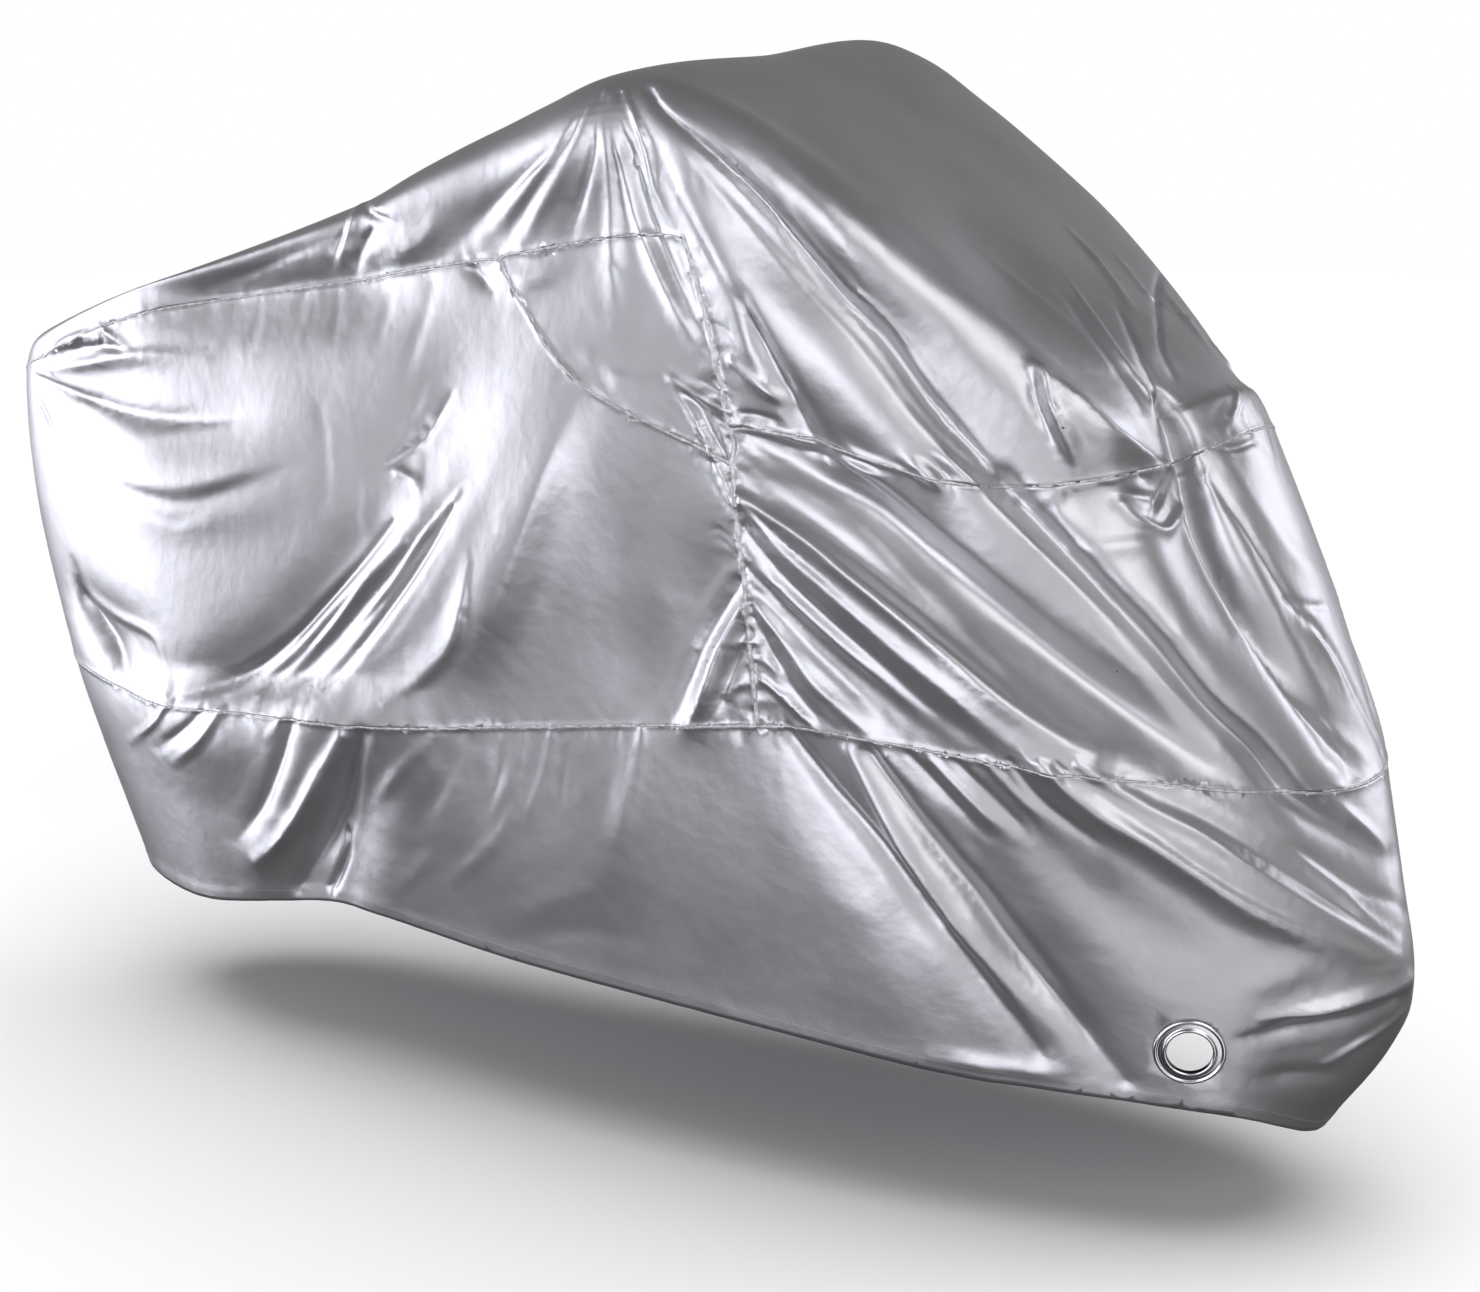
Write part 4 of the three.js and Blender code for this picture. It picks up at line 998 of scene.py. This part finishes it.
# %% [markdown]
# ## Seams and hem
#
# A seam is four layers of cloth under a line of stitches, so it stands up a little as a firm ridge, and the
# thread draws the cloth beside it into puckers. A pucker runs away from the seam at a right angle. That gives
# a cheap rule: each point asks for the nearest place on the seam, and a noise read there is the same all the
# way out. The gathered seam below the tip is the same with more of everything. The hem is a band of double
# cloth, turned up and sewn, with a faint step where it ends.

# %% Seam and hem relief
ridge_height, ridge_width = 1.5 * MM, 3.2 * MM
hem_width, hem_step = 19 * MM, 0.9 * MM
# height, length along the seam and reach of the puckers, for a plain and for the gathered seam
plain_puckers = [(0.7 * MM, 9 * MM, 12 * MM), (1.2 * MM, 26 * MM, 30 * MM)]
gathered_puckers = [(1.3 * MM, 6 * MM, 9 * MM), (2.2 * MM, 17 * MM, 26 * MM)]


def line_tree(edges):
    """A search tree of short edges, and the edges' ends."""
    ends = [(edge.verts[0].co.copy(), edge.verts[1].co.copy()) for edge in edges]
    return tree_of([(a + b) / 2 for a, b in ends]), ends


def nearest_on_line(tree, ends, point):
    middle, number, distance = tree.find(point)
    a, b = ends[number]
    share = min(1, max(0, (point - a).dot(b - a) / max((b - a).length_squared, 1e-12)))
    return a.lerp(b, share)


def pucker(place, distance, puckers, side):
    total = 0
    for height, length, reach in puckers:
        wave = 0.6 * noise.noise(place / length) + 0.8 * noise.noise(place / length + Vector((9 * side, 0, 4)))
        total += height * wave * math.exp(-distance / reach) * min(1, 0.35 + distance / (4 * MM))
    return total


def add_seam_relief(cloth_sheet, bm):
    seams, seam_ends = line_tree([edge for edge in bm.edges if is_seam(edge)])
    hem, hem_ends = line_tree([edge for edge in bm.edges if edge.is_boundary])
    for vert in bm.verts:
        point = vert.co
        if seams.find(point)[2] < 75 * MM:
            place = nearest_on_line(seams, seam_ends, point)
            distance = (point - place).length
            puckers = gathered_puckers if is_gathered(place) else plain_puckers
            side = max(face.material_index for face in vert.link_faces)
            cloth_sheet.lift[vert.index] += (ridge_height * math.exp(-(distance / ridge_width) ** 2)
                                             + pucker(place, distance, puckers, side))
        if hem.find(point)[2] < 60 * MM:
            place = nearest_on_line(hem, hem_ends, point)
            distance = (point - place).length
            step = hem_step if distance < hem_width else 0
            cloth_sheet.lift[vert.index] += step + pucker(place, distance, plain_puckers, 0)


# %% Work the creases in
cloth_sheet = Sheet(sheet)
from_table(swells + far_swells, cloth_sheet, rounded)
from_table(creases + far_creases + crinkles, cloth_sheet, crisp)
add_seam_relief(cloth_sheet, sheet)
cloth_sheet.calm_at_eyelets()
cloth_sheet.push(sheet)
print("swells:", len(swells), "creases:", len(creases), "and the most lift",
      round(cloth_sheet.lift.max() / MM, 1), "mm, the least",
      round(cloth_sheet.lift.min() / MM, 1), "mm")

# %% [markdown]
# ## Seam folds and stitches
#
# Along a seam the cloth is folded over and sewn down, which shows as a narrow raised cord that catches the light,
# with a row of stitches beside it. The cord is a curve with a round section, sunk to half its height, and its pale
# colour is a painted highlight.
# A stitch is a tiny stretched ball, a few millimetres long, and thousands of them make one mesh.

# %% Lines of the seams on the finished sheet
cord_radius, cord_sink = 2.6 * MM, 1.9 * MM
stitch_pitch, stitch_length, stitch_thickness = 4.2 * MM, 3.1 * MM, 0.55 * MM
stitch_offset = 3.8 * MM
hem_stitch_offset = 16 * MM


def chains(edges):
    """The edges joined into lines of vertices, each from one end or crossing to the next."""
    links = {}
    for edge in edges:
        for vert in edge.verts:
            links.setdefault(vert, []).append(edge)
    left = set(edges)
    starts = [vert for vert, ends in links.items() if len(ends) != 2] + list(links)
    for start in starts:
        for edge in links[start]:
            line, vert = [start], start
            while edge in left:
                left.discard(edge)
                vert = edge.other_vert(vert)
                line.append(vert)
                if len(links[vert]) != 2:
                    break
                edge = next((other for other in links[vert] if other in left), edge)
            if len(line) > 3:
                yield line


def resampled(line, spacing):
    """Evenly spaced places along a line of vertices, each with the cloth's normal there and the way ahead."""
    points = np.array([vert.co for vert in line])
    normals = np.array([vert.normal for vert in line])
    along = np.concatenate([[0], np.cumsum(np.linalg.norm(np.diff(points, axis=0), axis=1))])
    places = np.linspace(0, along[-1], max(3, int(along[-1] / spacing)))
    point = np.stack([np.interp(places, along, points[:, axis]) for axis in range(3)], axis=1)
    normal = np.stack([np.interp(places, along, normals[:, axis]) for axis in range(3)], axis=1)
    for again in range(4):
        point[1:-1] = (point[:-2] + 2 * point[1:-1] + point[2:]) / 4
        normal[1:-1] = (normal[:-2] + 2 * normal[1:-1] + normal[2:]) / 4
    ahead = np.gradient(point, axis=0)
    for p, n, a in zip(point, normal, ahead):
        yield Vector(p), Vector(n).normalized(), Vector(a).normalized()


sheet.normal_update()
seam_edges = [edge for edge in sheet.edges if is_seam(edge)]
seam_lines = []
for pair in sorted({tuple(sorted({face.material_index for face in edge.link_faces})) for edge in seam_edges}):
    seam_lines += chains([edge for edge in seam_edges
                          if {face.material_index for face in edge.link_faces} == set(pair)])
hem_lines = list(chains([edge for edge in sheet.edges if edge.is_boundary]))
finished_tree = BVHTree.FromBMesh(sheet)
print("seam lines:", len(seam_lines), "hem lines:", len(hem_lines))

# %% Seam folds
def linked(name, data):
    piece = bpy.data.objects.new(name, data)
    bpy.context.scene.collection.objects.link(piece)
    return piece


def mesh_of_curve(curve_object, name):
    """The curve object's surface as a mesh object, and the curve is gone."""
    finished = curve_object.evaluated_get(bpy.context.evaluated_depsgraph_get())
    mesh = bpy.data.meshes.new_from_object(finished)
    mesh.name = name
    curve = curve_object.data
    bpy.data.objects.remove(curve_object)
    bpy.data.curves.remove(curve)
    return linked(name, mesh)


curve = bpy.data.curves.new("seam_folds_curve", "CURVE")
curve.dimensions = "3D"
curve.bevel_depth = cord_radius
curve.bevel_resolution = 1
curve.use_fill_caps = True
for line in seam_lines:
    places = list(resampled(line, 4 * MM))
    spline = curve.splines.new("POLY")
    spline.points.add(len(places) - 1)
    for point, (place, normal, ahead) in zip(spline.points, places):
        uneven = noise.noise(place / (7 * MM))
        point.co = (*(place - normal * cord_sink), 1)
        point.radius = 1.35 + 0.6 * uneven if is_gathered(place) else 1 + 0.2 * uneven
seam_folds = mesh_of_curve(linked("seam_folds_curve", curve), "seam_folds")
print("seam folds:", len(seam_folds.data.polygons), "faces")

# %% Stitches
def stitch_places():
    """Where each stitch lies: the place on the cloth, the cloth's normal and the way of the seam."""
    for lines, offset in ((seam_lines, stitch_offset), (hem_lines, hem_stitch_offset)):
        for line in lines:
            for place, normal, ahead in resampled(line, stitch_pitch):
                across = normal.cross(ahead).normalized()
                side = -1 if offset == hem_stitch_offset and across.z < 0 else 1
                point, facing = finished_tree.find_nearest(place + side * offset * across)[:2]
                yield point, facing, ahead


ball = bmesh.new()
bmesh.ops.create_icosphere(ball, subdivisions=1, radius=1)
ball_points = [Vector((vert.co.x * stitch_length / 2, vert.co.y * stitch_thickness / 2,
                       vert.co.z * stitch_thickness / 2))
               for vert in ball.verts]
ball_faces = [[vert.index for vert in face.verts] for face in ball.faces]
ball.free()
points, faces = [], []
for place, facing, ahead in stitch_places():
    across = facing.cross(ahead).normalized()
    turn = Matrix((ahead, across, ahead.cross(across))).transposed()
    faces += [[len(points) + corner for corner in face] for face in ball_faces]
    points += [place + turn @ point for point in ball_points]
stitches_mesh = bpy.data.meshes.new("stitches")
stitches_mesh.from_pydata(points, [], faces)
stitches = linked("stitches", stitches_mesh)
print("stitches:", len(stitches_mesh.polygons), "faces")

# %% [markdown]
# ## From one sheet back to seven cloths
#
# The sheet is parted again where the cloths meet. Each cloth gets its real thinness with a Solidify modifier,
# because an open sheet would show its back as a mere surface and could not be printed or weighed.

# %% Cloths
cloth_thickness = 0.8 * MM
hole_radius = 30 * MM
sheet_mesh = bpy.data.meshes.new("sheet")
sheet.to_mesh(sheet_mesh)
sheet.free()


def cut_eyelet_holes(cloth):
    """Take the cloth away inside the eyelets and bring the ragged edge onto a circle under the ring."""
    for side, centre, axis in eyelets:
        inside = [face for face in cloth.faces if (face.calc_center_median() - centre).length < hole_radius]
        bmesh.ops.delete(cloth, geom=inside, context="FACES")
        for vert in cloth.verts:
            if vert.is_boundary and (vert.co - centre).length < 1.5 * hole_radius:
                spoke = vert.co - centre
                spoke -= spoke.dot(axis) * axis
                vert.co = centre + spoke.normalized() * hole_radius


def make_cloth(name, number):
    cloth = bmesh.new()
    cloth.from_mesh(sheet_mesh)
    others = [face for face in cloth.faces if face.material_index != number]
    bmesh.ops.delete(cloth, geom=others, context="FACES")
    if name == "skirt":
        cut_eyelet_holes(cloth)
    area = sum(face.calc_area() for face in cloth.faces)
    for face in cloth.faces:
        face.material_index = 0
        face.smooth = True
    mesh = bpy.data.meshes.new(name + "_cloth")
    cloth.to_mesh(mesh)
    cloth.free()
    piece = bpy.data.objects.new(name + "_cloth", mesh)
    bpy.context.scene.collection.objects.link(piece)
    thickness = piece.modifiers.new("thickness", "SOLIDIFY")
    thickness.thickness = cloth_thickness
    thickness.offset = -1
    thickness.material_offset = 1
    print(name, len(mesh.polygons), "faces", round(area, 3), "square metres")
    return piece, area


cloths = {name: make_cloth(name, number) for number, name in enumerate(cloth_names)}
bpy.data.meshes.remove(sheet_mesh)

# %% [markdown]
# ## The silver coating
#
# The cloth is thin polyester with aluminium in its coating: not a mirror, but a satin sheen that is almost
# white where the light strikes and a neutral grey elsewhere. A half metallic surface of middling roughness
# gives that. Two patterns break it up: a fine grain in the cloth's own flat coordinates, for the weave under
# the coating, and small crinkles as bump, too fine for the mesh.

# %% Silver cloth
def node_tree(name):
    material = bpy.data.materials.new(name)
    material.use_nodes = True
    tree = material.node_tree
    tree.nodes.clear()
    shader = tree.nodes.new("ShaderNodeBsdfPrincipled")
    output = tree.nodes.new("ShaderNodeOutputMaterial")
    tree.links.new(shader.outputs["BSDF"], output.inputs["Surface"])
    return material, tree, shader


def silver_cloth():
    material, tree, shader = node_tree("silver_cloth")
    new, link = tree.nodes.new, tree.links.new
    shader.inputs["Metallic"].default_value = 0.8
    place = new("ShaderNodeTexCoord")
    mottle = new("ShaderNodeTexNoise")
    mottle.inputs["Scale"].default_value = 9
    mottle.inputs["Detail"].default_value = 3
    link(place.outputs["Object"], mottle.inputs["Vector"])
    colour = new("ShaderNodeValToRGB")
    colour.color_ramp.elements[0].position = 0.3
    colour.color_ramp.elements[0].color = (0.56, 0.553, 0.568, 1)
    colour.color_ramp.elements[1].position = 0.7
    colour.color_ramp.elements[1].color = (0.63, 0.624, 0.642, 1)
    link(mottle.outputs["Fac"], colour.inputs["Fac"])
    link(colour.outputs["Color"], shader.inputs["Base Color"])
    rough = new("ShaderNodeMapRange")
    rough.inputs["To Min"].default_value = 0.35
    rough.inputs["To Max"].default_value = 0.42
    link(mottle.outputs["Fac"], rough.inputs["Value"])
    link(rough.outputs["Result"], shader.inputs["Roughness"])
    crinkle = new("ShaderNodeTexNoise")
    crinkle.inputs["Scale"].default_value = 45
    crinkle.inputs["Detail"].default_value = 4
    link(place.outputs["Object"], crinkle.inputs["Vector"])
    bump = new("ShaderNodeBump")
    bump.inputs["Strength"].default_value = 0.34
    bump.inputs["Distance"].default_value = 2 * MM
    link(crinkle.outputs["Fac"], bump.inputs["Height"])
    grain = new("ShaderNodeTexNoise")
    grain.inputs["Scale"].default_value = 900
    link(place.outputs["UV"], grain.inputs["Vector"])
    weave = new("ShaderNodeBump")
    weave.inputs["Strength"].default_value = 0.4
    weave.inputs["Distance"].default_value = 0.2 * MM
    link(grain.outputs["Fac"], weave.inputs["Height"])
    link(bump.outputs["Normal"], weave.inputs["Normal"])
    link(weave.outputs["Normal"], shader.inputs["Normal"])
    return material


def painted_shade_inner_side():
    """The uncoated inner side of the cloth: matt, with the same weave, and near black as painted shade for the dim
    hollow under the cover.
    """
    material, tree, shader = node_tree("cloth_inside_painted_shade")
    new, link = tree.nodes.new, tree.links.new
    shader.inputs["Roughness"].default_value = 0.85
    place = new("ShaderNodeTexCoord")
    grain = new("ShaderNodeTexNoise")
    grain.inputs["Scale"].default_value = 700
    link(place.outputs["UV"], grain.inputs["Vector"])
    # Near-black greys: painted shade for the hollow under the cover.
    colour = new("ShaderNodeValToRGB")
    colour.color_ramp.elements[0].color = (0.10, 0.10, 0.105, 1)
    colour.color_ramp.elements[1].color = (0.19, 0.19, 0.2, 1)
    link(grain.outputs["Fac"], colour.inputs["Fac"])
    link(colour.outputs["Color"], shader.inputs["Base Color"])
    return material


def seam_cord_painted_highlight():
    """The folded edge of the cloth at a seam: paler than the cloth and less of a mirror, a painted highlight that keeps
    the seam a light line.
    """
    material, tree, shader = node_tree("seam_cord_painted_highlight")
    new, link = tree.nodes.new, tree.links.new
    shader.inputs["Metallic"].default_value = 0.5
    shader.inputs["Roughness"].default_value = 0.5
    place = new("ShaderNodeTexCoord")
    highlight_mottle = new("ShaderNodeTexNoise")
    highlight_mottle.inputs["Scale"].default_value = 160
    link(place.outputs["Object"], highlight_mottle.inputs["Vector"])
    # Pale grey to near white, varying at random: a painted highlight that keeps the seam cord light.
    colour = new("ShaderNodeValToRGB")
    colour.color_ramp.elements[0].position = 0.35
    colour.color_ramp.elements[0].color = (0.5, 0.496, 0.51, 1)
    colour.color_ramp.elements[1].position = 0.65
    colour.color_ramp.elements[1].color = (0.86, 0.855, 0.87, 1)
    link(highlight_mottle.outputs["Fac"], colour.inputs["Fac"])
    link(colour.outputs["Color"], shader.inputs["Base Color"])
    return material


def thread():
    """Polyester sewing thread, grey, paler and darker at random along it."""
    material, tree, shader = node_tree("sewing_thread")
    new, link = tree.nodes.new, tree.links.new
    shader.inputs["Roughness"].default_value = 0.55
    place = new("ShaderNodeTexCoord")
    twist = new("ShaderNodeTexNoise")
    twist.inputs["Scale"].default_value = 500
    link(place.outputs["Object"], twist.inputs["Vector"])
    colour = new("ShaderNodeValToRGB")
    colour.color_ramp.elements[0].color = (0.42, 0.42, 0.43, 1)
    colour.color_ramp.elements[1].color = (0.66, 0.66, 0.67, 1)
    link(twist.outputs["Fac"], colour.inputs["Fac"])
    link(colour.outputs["Color"], shader.inputs["Base Color"])
    return material


silver = silver_cloth()
inside_painted_shade = painted_shade_inner_side()
seam_folds.data.materials.append(seam_cord_painted_highlight())
stitches.data.materials.append(thread())
for polygon in seam_folds.data.polygons:
    polygon.use_smooth = True
# Outer faces silver, inner faces the near-black painted shade.
for piece, area in cloths.values():
    piece.data.materials.clear()
    piece.data.materials.append(silver)
    piece.data.materials.append(inside_painted_shade)

# %% [markdown]
# ## Eyelets
#
# An eyelet is a plated ring of thin metal in two halves, pressed together through the cloth: a rolled bead
# round the hole, a flat flange with a groove, and a turned-down rim. It is a turned form, so one closed
# outline spun round the axis makes it. The outline is written as radius and height above the cloth.

# %% Eyelets
eyelet_outline = [
    (26.0, -3.4), (26.0, 2.4), (26.5, 3.2), (27.6, 3.7), (28.8, 3.6), (29.8, 2.9), (30.4, 2.0), (31.2, 1.5),
    (32.4, 1.4), (35.0, 1.4), (35.7, 1.1), (36.4, 1.4), (37.2, 1.9), (38.3, 2.2), (39.6, 1.9), (40.6, 1.2),
    (41.0, 0.3), (40.2, 0.15), (28.4, 0.15), (27.6, -0.5), (27.6, -1.6), (28.4, -2.1), (33.6, -2.1),
    (34.8, -2.5), (34.6, -3.1), (33.4, -3.3), (29.6, -3.2), (27.8, -3.9), (26.6, -4.1),
]
eyelet_steps = 96


def eyelet_ring(side, centre, axis):
    """The outline spun into a ring, then turned to the eyelet's axis and set on the cloth."""
    bm = bmesh.new()
    corners = [bm.verts.new((radius * MM, 0, height * MM)) for radius, height in eyelet_outline]
    edges = [bm.edges.new(pair) for pair in zip(corners, corners[1:] + corners[:1])]
    bmesh.ops.spin(bm, geom=corners + edges, cent=(0, 0, 0), axis=(0, 0, 1), angle=2 * math.pi,
                   steps=eyelet_steps, use_merge=True)
    bmesh.ops.remove_doubles(bm, verts=bm.verts[:], dist=0.01 * MM)
    bmesh.ops.recalc_face_normals(bm, faces=bm.faces[:])
    bm.transform(Matrix.Translation(centre) @ axis.to_track_quat("Z", "Y").to_matrix().to_4x4())
    mesh = bpy.data.meshes.new(f"eyelet_ring_{side}")
    bm.to_mesh(mesh)
    bm.free()
    for polygon in mesh.polygons:
        polygon.use_smooth = True
    return linked(f"eyelet_ring_{side}", mesh)


def eyelet_metal():
    """Bright plating, with a faint cloud of fingermarks and fine scratches in its roughness."""
    material, tree, shader = node_tree("eyelet_metal")
    new, link = tree.nodes.new, tree.links.new
    shader.inputs["Base Color"].default_value = (0.82, 0.82, 0.84, 1)
    shader.inputs["Metallic"].default_value = 1
    place = new("ShaderNodeTexCoord")
    marks = new("ShaderNodeTexNoise")
    marks.inputs["Scale"].default_value = 120
    marks.inputs["Detail"].default_value = 4
    link(place.outputs["Object"], marks.inputs["Vector"])
    rough = new("ShaderNodeMapRange")
    rough.inputs["To Min"].default_value = 0.08
    rough.inputs["To Max"].default_value = 0.24
    link(marks.outputs["Fac"], rough.inputs["Value"])
    link(rough.outputs["Result"], shader.inputs["Roughness"])
    return material


plating = eyelet_metal()
for side, centre, axis in eyelets:
    ring = eyelet_ring(side, centre, axis)
    ring.data.materials.append(plating)
    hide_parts(f"eyelet_{side}")
    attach(ring, "root")
    print(ring.name, len(ring.data.polygons), "faces")

# %% [markdown]
# ## The new pieces in place of the frame's, all under its root

# %% Pieces and the frame
flat_sizes = {
    "top_panel": (1.3, 2.0), "side_panel_right": (0.75, 1.35), "side_panel_left": (0.75, 1.35),
    "gusset_right": (0.3, 0.42), "gusset_left": (0.3, 0.42), "front_panel": (0.6, 1.5), "skirt": (0.42, 4.8),
}
for name, (piece, area) in cloths.items():
    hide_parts(name)
    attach(piece, "root")
    width, length = flat_sizes[name]
for piece in (seam_folds, stitches):
    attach(piece, "root")

# %% [markdown]
# ## Studio
#
# A satin metal surface shows its surroundings more than its own colour, so the light is built from what the
# cloth should mirror. That can be done with lamps, but a lamp near a two-metre thing changes from end to end.
# Here the surroundings themselves are painted: a dim sky and a dim ground with a brighter horizon between,
# and a few large soft spots on it. Each spot is a direction, how wide it is and how bright.
# The floor and the backdrop are pale to the camera but hidden from reflections, or they would fill the
# shadows under every fold. A lamp of its own lights the floor, and the cover throws its soft shadow there.

# %% Floor and backdrop
floor_radius, backdrop_radius = 14, 40
floor_grey, backdrop_glow = 0.86, 1.0


def stage_piece(name, bm, material):
    mesh = bpy.data.meshes.new(name)
    bm.to_mesh(mesh)
    bm.free()
    mesh.materials.append(material)
    piece = bpy.data.objects.new(name, mesh)
    piece.visible_glossy = False
    piece.visible_diffuse = False
    bpy.context.scene.collection.objects.link(piece)
    return piece


floor_material, tree, shader = node_tree("pale_floor")
shader.inputs["Base Color"].default_value = (floor_grey, floor_grey, floor_grey, 1)
shader.inputs["Roughness"].default_value = 0.9
shader.inputs["Specular IOR Level"].default_value = 0
disc = bmesh.new()
bmesh.ops.create_circle(disc, cap_ends=True, segments=96, radius=floor_radius)
bmesh.ops.translate(disc, verts=disc.verts[:], vec=(0, 0, -crown_to_floor))
floor = stage_piece("floor", disc, floor_material)

backdrop_material, tree, shader = node_tree("pale_backdrop")
shader.inputs["Base Color"].default_value = (0, 0, 0, 1)
shader.inputs["Specular IOR Level"].default_value = 0
shader.inputs["Emission Color"].default_value = (backdrop_glow, backdrop_glow, backdrop_glow, 1)
shader.inputs["Emission Strength"].default_value = 1
ball = bmesh.new()
bmesh.ops.create_uvsphere(ball, u_segments=48, v_segments=24, radius=backdrop_radius)
bmesh.ops.reverse_faces(ball, faces=ball.faces[:])
backdrop = stage_piece("backdrop", ball, backdrop_material)
backdrop.visible_shadow = False

floor_group = bpy.data.collections.new("lit by the floor's lamp")
floor_group.objects.link(floor)
floor_lamp = bpy.data.objects.new("floor lamp", bpy.data.lights.new("floor lamp", "SUN"))
floor_lamp.data.energy = 2.7
floor_lamp.data.angle = math.radians(70)
floor_lamp.light_linking.receiver_collection = floor_group
bpy.context.scene.collection.objects.link(floor_lamp)

# %% Surroundings
world = bpy.data.worlds.new("studio")
bpy.context.scene.world = world
world.use_nodes = True
tree = world.node_tree
direction = tree.nodes.new("ShaderNodeTexCoord").outputs["Generated"]
background = tree.nodes["Background"]


def grey_by_elevation(steps):
    """A grey for each elevation in degrees, from straight down to straight up."""
    split = tree.nodes.new("ShaderNodeSeparateXYZ")
    tree.links.new(direction, split.inputs["Vector"])
    height = tree.nodes.new("ShaderNodeMapRange")
    height.inputs["From Min"].default_value = -1
    tree.links.new(split.outputs["Z"], height.inputs["Value"])
    shade = tree.nodes.new("ShaderNodeValToRGB")
    shade.color_ramp.interpolation = "EASE"
    elements = shade.color_ramp.elements
    while len(elements) < len(steps):
        elements.new(0.5)
    for element, (elevation, grey) in zip(elements, steps):
        element.position = (1 + math.sin(math.radians(elevation))) / 2
        element.color = (grey, grey, grey, 1)
    tree.links.new(height.outputs["Result"], shade.inputs["Fac"])
    return shade.outputs["Color"]


def soft_spot(azimuth, elevation, inner, outer, brightness, colour=(1, 1, 1)):
    """A round patch of light in a direction, full inside the inner angle and gone at the outer one."""
    azimuth, elevation = math.radians(azimuth), math.radians(elevation)
    nearness = tree.nodes.new("ShaderNodeVectorMath")
    nearness.operation = "DOT_PRODUCT"
    nearness.inputs[1].default_value = (math.cos(azimuth) * math.cos(elevation),
                                        math.sin(azimuth) * math.cos(elevation), math.sin(elevation))
    tree.links.new(direction, nearness.inputs[0])
    fall = tree.nodes.new("ShaderNodeMapRange")
    fall.interpolation_type = "SMOOTHSTEP"
    fall.inputs["From Min"].default_value = math.cos(math.radians(outer))
    fall.inputs["From Max"].default_value = math.cos(math.radians(inner))
    tree.links.new(nearness.outputs["Value"], fall.inputs["Value"])
    tint = tree.nodes.new("ShaderNodeVectorMath")
    tint.operation = "SCALE"
    tint.inputs[0].default_value = [part * brightness for part in colour]
    tree.links.new(fall.outputs["Result"], tint.inputs["Scale"])
    return tint.outputs["Vector"]


cool, warm = (0.965, 0.985, 1.08), (1.0, 0.985, 1.03)
light = grey_by_elevation([(-90, 0.03), (-36, 0.05), (-22, 0.09),
                           (-6, 0.28), (12, 0.31), (28, 0.18), (90, 0.13)])
for spot in (
    ("tail side", 193, -3, 16, 23, 3.3, cool),
    ("side", 264, -4, 15, 24, 2.7, cool),
    ("front", 321, 24, 15, 24, 2.3, warm),
    ("ground in front", 314, -24, 12, 28, 0.9, warm),
    ("nose", 56, 14, 9, 22, 2.4, cool),
):
    add = tree.nodes.new("ShaderNodeVectorMath")
    tree.links.new(light, add.inputs[0])
    tree.links.new(soft_spot(*spot[1:]), add.inputs[1])
    light = add.outputs["Vector"]
tree.links.new(light, background.inputs["Color"])
bpy.context.scene.view_settings.view_transform = "Standard"
